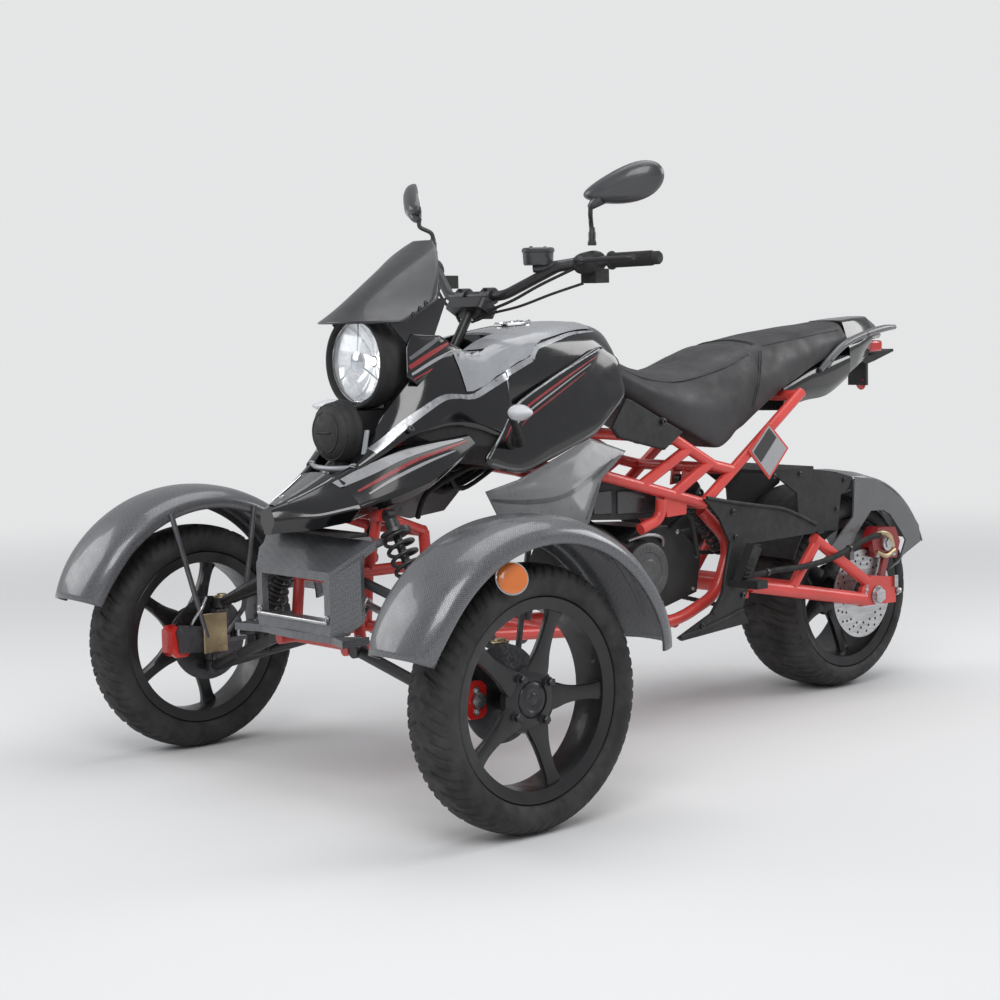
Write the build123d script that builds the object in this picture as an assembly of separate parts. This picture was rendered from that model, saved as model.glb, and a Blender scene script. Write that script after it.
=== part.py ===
from build123d import *
from math import atan2, cos, degrees, radians, sin, sqrt
import os

# A motor trike: two steered front wheels on double wishbones, one driven rear wheel on a swingarm.
# Millimetres. X is the vehicle's left, the front faces -Y, Z is up, and the origin lies on the
# floor under the middle of the vehicle.

# Axles and wheels
# The drawing's Y at the middle of the vehicle's length, where the origin goes when the parts are written
MIDDLE_Y = -69.0
FRONT_AXLE_Y = -825.0
REAR_AXLE_Y = 725.0
FRONT_TRACK = 1134.0
FRONT_RADIUS = 255.0
REAR_RADIUS = 248.0
FRONT_TYRE_HALF = 57.0
REAR_TYRE_HALF = 98.0
SEAT_FIT = 0.2
LIP_FIT = 0.3
FRONT_BEAD_RADIUS = FRONT_RADIUS - 77.0
FRONT_LIP_RADIUS = FRONT_RADIUS - 60.0
FRONT_LIP_HALF = 43.0
REAR_BEAD_RADIUS = REAR_RADIUS - 73.0
REAR_LIP_RADIUS = REAR_RADIUS - 57.0
REAR_LIP_HALF = 91.0
LIP_WALL = 5.0
BARREL_WALL = 10.0
SPOKES = 5
FIRST_SPOKE_DEG = 70.0
HUB_RADIUS = 66.0
SPINDLE_RADIUS = 14.7
RUNNING_FIT = 0.3
FRONT_DISC_RADIUS = 95.0
REAR_DISC_RADIUS = 112.0
DISC_THICKNESS = 4.0
DISC_CLEARANCE = 5.0
FRONT_DISC_X = 62.0
REAR_DISC_X = 128.0
SPROCKET_RADIUS = 80.0
SPROCKET_TEETH = 30
CHAIN_CLEARANCE = 5.5

# Steering and front suspension
RAKE_DEG = 32.0
CLAMP_Y = -440.0
CLAMP_Z = 1000.0
COLUMN_RADIUS = 11.0
HEAD_TUBE_RADIUS = 22.0
PITMAN_Z = 392.0
STEER_ARM = 60.0
TIE_ROD_RADIUS = 8.0
PIN_RADIUS = 5.0
DRIFT_ROOM = 4.0
TIE_ROD_LIFT = 16.0
ARM_RADIUS = 10.0
STUD_RADIUS = 6.0
TOUCH = 0.3
FENDER_HALF = FRONT_TYRE_HALF + 35.0
FENDER_RADIUS = FRONT_RADIUS + 88.0
FENDER_WALL = 4.0
STAY_RADIUS = 6.0

# Frame tubes
TUBE_RADIUS = 13.0
CRADLE_RADIUS = 14.0
TRUSS_X = 150.0
STAY_LOW_Z = 690.0
STAY_HIGH_Z = 745.0
CRADLE_X = 112.0

# Lamps
LAMP_RADIUS = 98.0
LENS_RADIUS = 86.0
LAMP_Y = -763.0
LAMP_Z = 879.0
SNOUT_RADIUS = 63.0
SNOUT_Y = -800.0
SNOUT_Z = 737.0

# Rear suspension
ARM_PIVOT_Y = 268.0
ARM_PIVOT_Z = 318.0
SWINGARM_RADIUS = 17.0
SWINGARM_X = 172.0
# The brace's line in Y and Z
BRACE_TOP = (490.0, 412.0)
BRACE_END = (REAR_AXLE_Y - 35, REAR_RADIUS + 37)
BRACE_RADIUS = 14.0
REAR_SHOCK_FOOT = Vector(0, 392, 345)
REAR_SHOCK_TOP = Vector(0, 197, 570)
EYE_HALF = 15.0
EAR = 6.0

FRONT_X = FRONT_TRACK / 2
KNUCKLE_X = FRONT_X - 87.0
STAY_X = FRONT_X - FENDER_HALF - STAY_RADIUS - TOUCH
# Ball joints: X, distance behind the axle, height
UPPER_BALL = (KNUCKLE_X - 2, 21.0, FRONT_RADIUS + 81)
LOWER_BALL = (KNUCKLE_X + 2, -3.0, FRONT_RADIUS - 63)
FRONT_HUB = Vector(FRONT_X, FRONT_AXLE_Y, FRONT_RADIUS)
REAR_HUB = Vector(0, REAR_AXLE_Y, REAR_RADIUS)
UP = Vector(0, sin(radians(RAKE_DEG)), cos(radians(RAKE_DEG)))


def section(y):
    """A plane across the vehicle: its first coordinate is X and its second is Z."""
    return Plane(origin=(0, y, 0), x_dir=(1, 0, 0), z_dir=(0, -1, 0))


def side(x):
    """A plane along the vehicle: its first coordinate is Y and its second is Z."""
    return Plane(origin=(x, 0, 0), x_dir=(0, 1, 0), z_dir=(1, 0, 0))


def mirrored(shape):
    return mirror(shape, about=Plane.YZ)


def both(shape):
    return Compound(children=[*shape.solids(), *mirrored(shape).solids()])


def rod(start, end, radius):
    start = Vector(*start)
    line = Vector(*end) - start
    return extrude(Plane(origin=start, z_dir=line) * Circle(radius), line.length)


def ring(centre, axis, outer, inner, length):
    plane = Plane(origin=centre, z_dir=axis)
    return extrude(plane * (Circle(outer) - Circle(inner)), length / 2, both=True)


def tube(points, bends, radius):
    path = FilletPolyline(*points, radius=bends)
    start = Plane(origin=path @ 0, z_dir=path % 0)
    return sweep(start * Circle(radius), path=path)


def block(x0, x1, y0, y1, z0, z1):
    centre = ((x0 + x1) / 2, (y0 + y1) / 2, (z0 + z1) / 2)
    return Pos(*centre) * Box(x1 - x0, y1 - y0, z1 - z0)


def face_of(plane, outline):
    """An outline's face whose normal is the plane's, whichever way round the points run."""
    ends = zip(outline, outline[1:] + outline[:1])
    area = sum(a[0] * b[1] - b[0] * a[1] for a, b in ends)
    return plane * Polygon(*(outline if area > 0 else outline[::-1]))


def plate(outline, x0, x1):
    """A flat plate whose outline is given as (Y, Z) points."""
    return extrude(face_of(side(x0), outline), x1 - x0)


def level_plate(outline, z0, z1):
    """A flat plate whose outline is given as (X, Y) points."""
    return extrude(face_of(Plane.XY.offset(z0), outline), z1 - z0)


def leaning_plate(outline, x, z, lean_deg, thickness, bevel=0.0):
    """A plate like plate(), turned about a line along Y at (x, z) so that its top leans inward."""
    lean = radians(lean_deg)
    normal = (cos(lean), 0, sin(lean))
    plane = Plane(origin=(x, 0, z), x_dir=(0, 1, 0), z_dir=normal)
    points = [(y, (height - z) / cos(lean)) for y, height in outline]
    body = extrude(face_of(plane, points), thickness)
    if bevel:
        outer = body.faces().sort_by(Axis((0, 0, 0), normal))[-1]
        body = chamfer(outer.edges(), bevel)
    return body


def closed_half(points):
    """The whole of a symmetric outline, from its right half, top centre to bottom centre."""
    return points + [(-x, z) for x, z in reversed(points) if x]


def lofted(sections):
    """A body through sections given as (Y, outline in X and Z)."""
    return loft([face_of(section(y), outline) for y, outline in sections], ruled=True)


def about_axle(profile, hub, start_deg=0.0, arc_deg=360.0):
    """Revolve a profile of (offset along the axle, radius) about an axle along X.

    Angles start at the rear and turn upward."""
    plane = Plane(origin=hub, x_dir=(1, 0, 0), z_dir=(0, -1, 0))
    axis = Axis(hub, (1, 0, 0))
    body = revolve(plane * Polygon(*profile), axis, arc_deg)
    if arc_deg < 360:
        body = body.rotate(axis, start_deg - 90)
    return body


def mirrored_profile(half):
    return half + [(-offset, radius) for offset, radius in reversed(half) if offset]


def radial(hub, angle_deg, radius, offset):
    """A plane whose normal points away from the axle, at an angle from the rear."""
    way = Vector(0, cos(radians(angle_deg)), sin(radians(angle_deg)))
    return Plane(origin=hub + way * radius + Vector(offset, 0, 0), x_dir=(1, 0, 0), z_dir=way)


def column_point(z):
    """The point on the steering axis at a height."""
    return Vector(0, CLAMP_Y, CLAMP_Z) + UP * ((z - CLAMP_Z) / UP.Z)


def wheel_rim(hub, lip_radius, bead_radius, lip_half, dish):
    """A cast wheel: barrel, hub disc and tapering spokes, open between the spokes."""
    seat_half = lip_half - LIP_WALL
    bore = bead_radius - BARREL_WALL
    barrel = [
        (-lip_half, lip_radius), (-seat_half, lip_radius), (-seat_half, bead_radius),
        (seat_half, bead_radius), (seat_half, lip_radius), (lip_half, lip_radius),
        (lip_half, lip_radius - LIP_WALL), (seat_half, bore), (-seat_half, bore),
        (-lip_half, lip_radius - LIP_WALL),
    ]
    rim = about_axle(barrel, hub)
    # columns: distance from the axle, thickness along it, width
    spoke_sections = [(HUB_RADIUS * 0.6, 22, 50), (bead_radius - BARREL_WALL / 2, 15, 30)]
    for number in range(SPOKES):
        angle = FIRST_SPOKE_DEG + number * 360 / SPOKES
        offsets = (dish, dish + 6)
        parts = zip(spoke_sections, offsets)
        rim += loft([radial(hub, angle, r, x) * Rectangle(t, w) for (r, t, w), x in parts], ruled=True)
    rim += about_axle([(dish - 13, 0), (dish + 11, 0), (dish + 11, 34), (dish + 5, HUB_RADIUS),
                       (dish - 13, HUB_RADIUS)], hub)
    return rim


def tyre(hub, half):
    return about_axle(mirrored_profile(half), hub)


def front_tyre_half():
    flank = FRONT_LIP_HALF - LIP_WALL - LIP_FIT
    wide = FRONT_TYRE_HALF
    top = FRONT_RADIUS
    return [(0, top), (wide * 0.6, top - 4), (wide * 0.88, top - 15), (wide, top - 33),
            (wide - 3, top - 48), (FRONT_LIP_HALF + 1, FRONT_LIP_RADIUS + 1),
            (flank, FRONT_LIP_RADIUS + 1), (flank, FRONT_BEAD_RADIUS + SEAT_FIT)]


def rear_tyre_half():
    flank = REAR_LIP_HALF - LIP_WALL - LIP_FIT
    wide = REAR_TYRE_HALF
    top = REAR_RADIUS
    return [(0, top), (wide * 0.46, top - 3), (wide * 0.8, top - 16), (wide - 1, top - 36),
            (wide, top - 46), (REAR_LIP_HALF + 1, REAR_LIP_RADIUS + 1),
            (flank, REAR_LIP_RADIUS + 1), (flank, REAR_BEAD_RADIUS + SEAT_FIT)]


def front_wheel():
    dish = 14.0
    hub_in = FRONT_DISC_X + DISC_THICKNESS / 2
    face = dish - 13
    bore = SPINDLE_RADIUS + RUNNING_FIT
    rim = wheel_rim(FRONT_HUB, FRONT_LIP_RADIUS, FRONT_BEAD_RADIUS, FRONT_LIP_HALF, dish)
    rim -= rod(FRONT_HUB - Vector(60, 0, 0), FRONT_HUB + Vector(10, 0, 0), bore)
    disc = about_axle([(-hub_in, bore), (face, bore), (face, 30), (-hub_in + 4, 30),
                       (-hub_in + 4, FRONT_DISC_RADIUS), (-hub_in, FRONT_DISC_RADIUS)], FRONT_HUB)
    return tyre(FRONT_HUB, front_tyre_half()), rim, disc


def sprocket_wheel(x, bore):
    """The toothed wheel that the chain drives, with lightening holes round its hub."""
    tips = []
    for number in range(SPROCKET_TEETH):
        # columns: share of a pitch, radius
        for share, radius in ((0, SPROCKET_RADIUS - 9), (0.3, SPROCKET_RADIUS - 7), (0.42, SPROCKET_RADIUS),
                              (0.58, SPROCKET_RADIUS), (0.7, SPROCKET_RADIUS - 7)):
            angle = radians((number + share) * 360 / SPROCKET_TEETH)
            tips.append((radius * cos(angle), radius * sin(angle)))
    plane = Plane(origin=(x, REAR_AXLE_Y, REAR_RADIUS), x_dir=(0, 1, 0), z_dir=(1, 0, 0))
    body = extrude(plane * (Polygon(*tips) - Circle(bore)), 6)
    for number in range(5):
        angle = radians(number * 72)
        hole = Pos(0.66 * SPROCKET_RADIUS * cos(angle), 0.66 * SPROCKET_RADIUS * sin(angle))
        body -= extrude(plane * hole * Circle(11), 6)
    return body


def rear_wheel():
    dish = 20.0
    rim = wheel_rim(REAR_HUB, REAR_LIP_RADIUS, REAR_BEAD_RADIUS, REAR_LIP_HALF, dish)
    bore = SPINDLE_RADIUS + RUNNING_FIT
    left_face = REAR_DISC_X - DISC_THICKNESS / 2
    rim += about_axle([(-left_face, 0), (left_face, 0), (left_face, 32), (-left_face, 32)], REAR_HUB)
    rim -= rod(REAR_HUB - Vector(left_face, 0, 0), REAR_HUB + Vector(left_face, 0, 0), bore)
    disc = about_axle([(left_face, bore), (left_face + DISC_THICKNESS, bore),
                       (left_face + DISC_THICKNESS, REAR_DISC_RADIUS), (left_face, REAR_DISC_RADIUS)],
                      REAR_HUB)
    sprocket = sprocket_wheel(-left_face - 6, bore)
    return tyre(REAR_HUB, rear_tyre_half()), rim, disc, sprocket


def ball(place):
    x, behind, z = place
    return Vector(x, FRONT_AXLE_Y + behind, z)


def kingpin(z):
    low = ball(LOWER_BALL)
    high = ball(UPPER_BALL)
    return low + (high - low) * ((z - low.Z) / (high.Z - low.Z))


def knuckle_eye():
    base = kingpin(FRONT_RADIUS + 7)
    return Vector(base.X, base.Y + STEER_ARM, base.Z)


def pitman_eye():
    down = Vector(0, UP.Z, -UP.Y)
    return column_point(PITMAN_Z) + down * STEER_ARM


CALIPER_EAR = 4.0


def upright():
    """The left knuckle: studs for both ball joints, spindle, steering arm and fender stays."""
    low = ball(LOWER_BALL)
    high = ball(UPPER_BALL)
    pin = (high - low).normalized()
    y = FRONT_AXLE_Y
    z = FRONT_RADIUS
    body = plate([(y - 22, z - 33), (y + 20, z - 33), (y + 34, z), (y + 32, z + 67), (y + 2, z + 67),
                  (y - 34, z)], KNUCKLE_X - 12, KNUCKLE_X + 10)
    body += rod(low - pin * 8, high + pin * 8, STUD_RADIUS)
    body += rod((KNUCKLE_X, y, z), (KNUCKLE_X + 20, y, z), 27)
    body += rod((KNUCKLE_X + 10, y, z), FRONT_HUB, SPINDLE_RADIUS)
    eye = knuckle_eye()
    body += block(eye.X - 9, eye.X + 9, y + 20, eye.Y + 12, eye.Z - 17, eye.Z - 7 - TOUCH)
    body += rod(eye - Vector(0, 0, 12), eye + Vector(0, 0, 14), PIN_RADIUS)
    body += plate([(y - 20, z - 27), (y - 20, z + 30), (y - 92, z + 41), (y - 100, z + 25),
                   (y - 92, z - 23)], KNUCKLE_X - CALIPER_EAR, KNUCKLE_X + CALIPER_EAR)
    top = FENDER_RADIUS - 49
    body += rod((STAY_X, y - 26, z + 7), (STAY_X, y - 110, z + top), STAY_RADIUS)
    body += tube([(STAY_X, y + 26, z + 12), (STAY_X, y + 74, z + 64), (STAY_X, y + 112, z + top)], [20],
                 STAY_RADIUS)
    return body


def front_caliper():
    front = FRONT_AXLE_Y - 60
    slot = DISC_THICKNESS / 2 + DISC_CLEARANCE
    middle = FRONT_X - FRONT_DISC_X
    z = FRONT_RADIUS
    body = block(middle - 21, middle + 24, front - 48, front, z - 33, z + 37)
    body = chamfer(body.edges().filter_by(Axis.X), 10)
    body -= block(middle - slot, middle + slot, front - 42, front + 1, z - 40, z + 45)
    ear_face = KNUCKLE_X + CALIPER_EAR + TOUCH
    return body - block(middle - 22, ear_face, front - 50, front + 2, z - 35, z + 39)


def front_fender():
    r = FENDER_RADIUS
    wide = FENDER_HALF
    # columns: offset from the wheel's middle, radius
    half = [(0, r), (wide * 0.43, r - 2), (wide * 0.78, r - 9), (wide - 2, r - 25), (wide, r - 45)]
    outer = [(-x, radius) for x, radius in reversed(half)] + half[1:]
    inset = [(0, r - FENDER_WALL), (wide * 0.43 - 1, r - 2 - FENDER_WALL),
             (wide * 0.78 - 3, r - 9 - FENDER_WALL), (wide - 2 - FENDER_WALL, r - 27),
             (wide - FENDER_WALL, r - 45)]
    inner = list(reversed(inset)) + [(-x, radius) for x, radius in inset[1:]]
    return about_axle(outer + inner, FRONT_HUB, 12, 148)


def tie_rod(lift):
    """The left tie rod, from the pitman pin, lift above the arm, to the open eye over the stud."""
    inner = pitman_eye()
    outer = knuckle_eye()
    start = inner + UP * lift
    way = (outer - start).normalized()
    body = rod(start + way * 9, outer - way * 10, TIE_ROD_RADIUS)
    body += ring(start, UP, 13, PIN_RADIUS + RUNNING_FIT, 21)
    body -= rod(start - UP * 20, start + UP * 20, PIN_RADIUS + RUNNING_FIT)
    body += ring(outer, (0, 0, 1), 14, PIN_RADIUS + DRIFT_ROOM, 14)
    return body - rod(outer - Vector(0, 0, 9), outer + Vector(0, 0, 9), PIN_RADIUS + DRIFT_ROOM)


def steering_column():
    low = column_point(PITMAN_Z - 6)
    top = column_point(CLAMP_Z - 20)
    eye = pitman_eye()
    body = rod(low, top, COLUMN_RADIUS)
    arm_plane = Plane(origin=column_point(PITMAN_Z), x_dir=(0, UP.Z, -UP.Y), z_dir=UP)
    body += extrude(arm_plane * Pos(STEER_ARM / 2, 0) * SlotCenterToCenter(STEER_ARM, 26), 5, both=True)
    body += rod(eye - UP * 28, eye + UP * 28, PIN_RADIUS)
    clamp = Plane(origin=column_point(CLAMP_Z - 14), x_dir=(1, 0, 0), z_dir=UP)
    body += extrude(clamp * RectangleRounded(120, 52, 12), 12, both=True)
    for x in (-42, 42):
        riser = column_point(CLAMP_Z - 8) + Vector(x, 0, 0)
        body += rod(riser, riser + UP * 11.7, 17)
    return body


BAR_RADIUS = 11.0
BAR_CENTRE = column_point(CLAMP_Z) + UP * (BAR_RADIUS + 2.6)
# A list of (X, back from the bar's middle, up from the bar's middle)
BAR_ROUTE = [(90, 0, 0), (200, 58, 58), (283, 117, 68), (398, 144, 70)]


def bar_point(x, back, rise):
    return (x, BAR_CENTRE.Y + back, BAR_CENTRE.Z + rise)


BAR_STRAIGHT = 32.0


def handlebar():
    left = [bar_point(BAR_STRAIGHT, 0, 0)] + [bar_point(*row) for row in BAR_ROUTE]
    arm = tube(left, [55, 50, 60], BAR_RADIUS)
    straight = rod(bar_point(-BAR_STRAIGHT, 0, 0), bar_point(BAR_STRAIGHT, 0, 0), BAR_RADIUS)
    return arm + mirrored(arm) + straight


def hand_controls():
    inner = Vector(*bar_point(*BAR_ROUTE[2]))
    outer = Vector(*bar_point(*BAR_ROUTE[3]))
    way = (outer - inner).normalized()
    bore = BAR_RADIUS + TOUCH
    grip = rod(inner + way * 15, outer + way * 4, 16)
    grip -= rod(inner - way * 5, outer, bore)
    knee = Vector(*bar_point(*BAR_ROUTE[1]))
    slope = (inner - knee).normalized()
    perch = rod(inner - slope * 60, inner - slope * 17, 21)
    lever_root = inner - slope * 34 + Vector(0, -30, 4)
    perch += rod(inner - slope * 34, lever_root, 9)
    perch += tube([lever_root, lever_root + Vector(30, -14, 0), lever_root + way * 150 + Vector(0, -20, 0)],
                  [22], 5)
    perch += rod(inner - slope * 46, inner - slope * 46 + Vector(0, 0, 34), 7)
    perch -= rod(inner - slope * 80, inner + slope * 2, bore)
    return grip, perch


MIRROR = Vector(355, -306, 1235)


def mirror_arm():
    inner = Vector(*bar_point(*BAR_ROUTE[2]))
    knee = Vector(*bar_point(*BAR_ROUTE[1]))
    slope = (inner - knee).normalized()
    foot = inner - slope * 46 + Vector(0, 0, 34 + 2 * TOUCH)
    back = Plane(origin=MIRROR, x_dir=(0.94, -0.2, 0.28), z_dir=(0.1, 1, 0.1))
    shell = loft([back.offset(-depth) * Ellipse(w, h)
                  for depth, w, h in ((28, 50, 20), (14, 80, 37), (0, 88, 43), (-7, 88, 43))], ruled=True)
    stem = tube([foot, foot + Vector(4, 0, 60), MIRROR + Vector(-60, -4, -26), MIRROR + Vector(-20, -6, -8)],
                [30, 20], 5)
    return shell + stem


def bar_reservoir():
    """The fluid box above the bar and the arm that joins it to the left perch."""
    inner = Vector(*bar_point(*BAR_ROUTE[2]))
    knee = Vector(*bar_point(*BAR_ROUTE[1]))
    slope = (inner - knee).normalized()
    box = block(110, 172, BAR_CENTRE.Y - 4, BAR_CENTRE.Y + 44, BAR_CENTRE.Z + 62, BAR_CENTRE.Z + 96)
    return box + rod(bar_point(160, 20, 78), inner - slope * 52 + Vector(0, 0, 19), 5)


def truss():
    """One side of the welded upper frame, the head tube's stays and the rear strut."""
    lower_front = (TRUSS_X, -198, 610)
    lower_rear = (TRUSS_X, 118, 525)
    upper_front = (TRUSS_X, 17, 683)
    upper_rear = (TRUSS_X, 153, 612)
    tail = (TRUSS_X, 470, 770)
    stay_low = column_point(STAY_LOW_Z)
    stay_high = column_point(STAY_HIGH_Z)
    # columns: start, end
    members = [
        (lower_front, lower_rear), (upper_front, upper_rear), (lower_rear, tail),
        ((TRUSS_X, 69, 655), (TRUSS_X, -88, 580)), ((TRUSS_X, 140, 618), (TRUSS_X, 15, 552)),
        (upper_rear, (TRUSS_X, 213, 598)), ((60, stay_low.Y, stay_low.Z), lower_front),
        ((60, stay_high.Y, stay_high.Z), upper_front),
    ]
    body = rod(*members[0], TUBE_RADIUS)
    for start, end in members[1:]:
        body += rod(start, end, TUBE_RADIUS)
    for point in (lower_front, lower_rear, upper_front, upper_rear):
        body += Pos(*point) * Sphere(TUBE_RADIUS)
    body += tube([(TRUSS_X, -22, 545), (TRUSS_X, -26, 500), (TRUSS_X, -90, 482)], [30], TUBE_RADIUS)
    body += plate([(-15, 548), (60, 530), (58, 505), (-5, 503)], TRUSS_X - 3, TRUSS_X + 3)
    return body


def frame_truss():
    body = truss()
    body += mirrored(body)
    head_low = column_point(650)
    head_high = column_point(790)
    body += rod(head_low, head_high, HEAD_TUBE_RADIUS)
    for z in (STAY_LOW_Z, STAY_HIGH_Z):
        hub = column_point(z)
        body += rod(hub - Vector(70, 0, 0), hub + Vector(70, 0, 0), TUBE_RADIUS)
    for y, z in ((118, 525), (205, 600), (455, 762)):
        body += rod((-TRUSS_X, y, z), (TRUSS_X, y, z), TUBE_RADIUS)
    ear = plate([(192, 604), (220, 604), (212, 558), (184, 556)], EYE_HALF + TOUCH, EYE_HALF + EAR)
    body += ear + mirrored(ear)
    return body - rod(column_point(600), column_point(850), COLUMN_RADIUS + RUNNING_FIT)


def frame_cradle():
    """Lower rails under the engine, up to the swingarm's pivot plates."""
    start = FRONT_AXLE_Y + PIVOT_REAR + POST_OFFSET + RAIL_RADIUS + 3 * TOUCH
    rail = tube([(CRADLE_X, start, LOWER_PIVOT[1] - 4), (CRADLE_X, -300, 270), (CRADLE_X, 60, 250), (CRADLE_X, 200, 300),
                 (CRADLE_X, 250, 420), (CRADLE_X, 150, 505)], [300, 300, 90, 60], CRADLE_RADIUS)
    pivot = plate([(225, 270), (310, 280), (310, 345), (262, 380), (215, 350)], CRADLE_X - 5, CRADLE_X + 5)
    pivot -= rod((CRADLE_X - 9, ARM_PIVOT_Y, ARM_PIVOT_Z), (CRADLE_X + 9, ARM_PIVOT_Y, ARM_PIVOT_Z),
                 12 + TOUCH)
    body = rail + pivot
    body += mirrored(body)
    body += rod((-CRADLE_X, -300, 270), (CRADLE_X, -300, 270), CRADLE_RADIUS)
    return body + rod((-CRADLE_X, 60, 250), (CRADLE_X, 60, 250), CRADLE_RADIUS)


LOWER_PIVOT = (140.0, 304.0)
UPPER_PIVOT = (118.0, 455.0)
PIVOT_FRONT = -62.0
POST_OFFSET = 28.0
PIVOT_REAR = 125.0
BUSH_RADIUS = 14.0
BUSH_HALF = 14.0
RAIL_RADIUS = 12.0
FRONT_HOOP_Z = 438.0
REAR_HOOP_Z = 525.0
TOWER_Z = 572.0
TOWER_X = 112.0


SHOCK_Y = FRONT_AXLE_Y + 17
SHOCK_TOP = Vector(150, SHOCK_Y, TOWER_Z)
SHOCK_FOOT_X = 330.0
SHOCK_EYE = 14.0


def frame_front():
    """The welded bulkhead between the front wheels, with its shock towers."""
    front = FRONT_AXLE_Y + PIVOT_FRONT
    rear = FRONT_AXLE_Y + PIVOT_REAR
    inset = BUSH_RADIUS + RAIL_RADIUS + TOUCH
    low_x = LOWER_PIVOT[0] - inset
    high_x = UPPER_PIVOT[0] - inset
    rail_front = front - BUSH_HALF - 2
    rail_rear = rear + POST_OFFSET + RAIL_RADIUS
    front_post = front + POST_OFFSET
    rear_post = rear + POST_OFFSET
    body = rod((low_x, rail_front, LOWER_PIVOT[1]), (low_x, rail_rear, LOWER_PIVOT[1]), RAIL_RADIUS)
    body += rod((high_x, rail_front, UPPER_PIVOT[1]), (high_x, rail_rear, UPPER_PIVOT[1]), RAIL_RADIUS)
    body += rod((low_x, front_post, LOWER_PIVOT[1]), (high_x, front_post, UPPER_PIVOT[1]), RAIL_RADIUS)
    body += rod((low_x, rear_post, LOWER_PIVOT[1]), (high_x, rear_post, REAR_HOOP_Z), RAIL_RADIUS)
    body += rod((high_x, SHOCK_Y - 10, UPPER_PIVOT[1]), (TOWER_X, SHOCK_Y, TOWER_Z), 11)
    body += rod((high_x, rear_post, REAR_HOOP_Z), (TOWER_X, SHOCK_Y, TOWER_Z), 11)
    seat_x = SHOCK_TOP.X - SHOCK_EYE - TOUCH
    body += block(TOWER_X - 8, seat_x, SHOCK_Y - 15, SHOCK_Y + 15, TOWER_Z - 12, TOWER_Z + 12)
    body += mirrored(body)
    # columns: distance back, height, half width
    for y, z, wide in ((front_post, LOWER_PIVOT[1], low_x), (rear_post, LOWER_PIVOT[1], low_x),
                       (front_post, FRONT_HOOP_Z, high_x), (rear_post, REAR_HOOP_Z, high_x),
                       (SHOCK_Y, TOWER_Z, TOWER_X)):
        body += rod((-wide, y, z), (wide, y, z), RAIL_RADIUS)
    return body


def wishbone(ball_place, pivot, radius):
    """An A arm from two bushes to the housing round its ball joint's stud."""
    end = ball(ball_place)
    pin = (ball(UPPER_BALL) - ball(LOWER_BALL)).normalized()
    x, z = pivot
    body = ring(end, pin, 18, STUD_RADIUS + RUNNING_FIT, 22)
    for reach in (PIVOT_FRONT, PIVOT_REAR):
        foot = Vector(x, FRONT_AXLE_Y + reach, z)
        way = (end - foot).normalized()
        body += rod(foot + way * 6, end - way * 12, radius)
        body += rod(foot - Vector(0, BUSH_HALF, 0), foot + Vector(0, BUSH_HALF, 0), BUSH_RADIUS)
    return body - rod(end - pin * 30, end + pin * 30, STUD_RADIUS + RUNNING_FIT)




def arm_height(x):
    """Height of the lower arm's middle plane at a distance from the centre."""
    share = (x - LOWER_PIVOT[0]) / (LOWER_BALL[0] - LOWER_PIVOT[0])
    return LOWER_PIVOT[1] + (LOWER_BALL[2] - LOWER_PIVOT[1]) * share


def shock_foot():
    return Vector(SHOCK_FOOT_X, SHOCK_Y, arm_height(SHOCK_FOOT_X) + 9 + SHOCK_EYE + TOUCH)


def lower_wishbone():
    body = wishbone(LOWER_BALL, LOWER_PIVOT, ARM_RADIUS + 2)
    z = arm_height(SHOCK_FOOT_X)
    body += rod((SHOCK_FOOT_X, SHOCK_Y - 62, z), (SHOCK_FOOT_X, SHOCK_Y + 40, z), 9)
    foot = shock_foot()
    for way in (-1, 1):
        y0 = SHOCK_Y + way * (15 + TOUCH)
        y1 = y0 + way * 5
        body += block(SHOCK_FOOT_X - 13, SHOCK_FOOT_X + 13, min(y0, y1), max(y0, y1), z, foot.Z + 15)
    return body


def coil_shock(foot, top, coils, wide, wire):
    """A coil-over: damper body, rod, two eyes and a ribbed spring round them."""
    line = top - foot
    way = line.normalized()
    length = line.length
    across = Vector(0, 1, 0) if abs(way.X) > abs(way.Y) else Vector(1, 0, 0)
    low = 70.0
    high = length - 45.0
    step = (high - low) / coils
    outline = [(0, 8), (12, 8), (12, 26), (17, 26), (17, low - 8), (wide, low - 8), (wide, low)]
    for number in range(coils):
        start = low + number * step
        outline += [(wide - wire, start + step * 0.06), (wide, start + step * 0.3),
                    (wide, start + step * 0.6), (wide - wire, start + step * 0.9)]
    outline += [(wide, high), (wide, high + 8), (15, high + 8), (15, length - 10), (0, length - 10)]
    body = Plane(origin=foot, x_dir=across, z_dir=way) * revolve(Plane.XZ * Polygon(*outline), Axis.Z)
    for point in (foot, top):
        body += rod(point - across * 15, point + across * 15, SHOCK_EYE)
    return body


def engine():
    case = plate([(-150, 300), (40, 285), (150, 310), (165, 400), (90, 470), (-40, 478), (-150, 420)],
                 -100, 96)
    cover = extrude(side(96) * Pos(-50, 380) * Circle(72), 34, taper=12)
    cover += extrude(side(125) * Pos(-50, 380) * Circle(30), 10)
    clutch = extrude(side(-140) * Pos(10, 380) * Circle(84), 42)
    body = case + cover + clutch
    body += block(-30, 30, 46, 74, 264 + TOUCH, 300)
    for way in (-1, 1):
        body += block(min(way * 70, way * 118), max(way * 70, way * 118), -148, -124, 275.6 + TOUCH, 312)
    lean = Plane(origin=(0, -110, 378), x_dir=(1, 0, 0), z_dir=(0, -0.85, 0.53))
    body += extrude(lean * Rectangle(96, 84), 110)
    for number in range(8):
        fin = lean.offset(34 + number * 9.5)
        body += extrude(fin * RectangleRounded(136, 108, 14), 3.5)
    return body + extrude(lean.offset(108) * RectangleRounded(112, 100, 10), 24)


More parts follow.
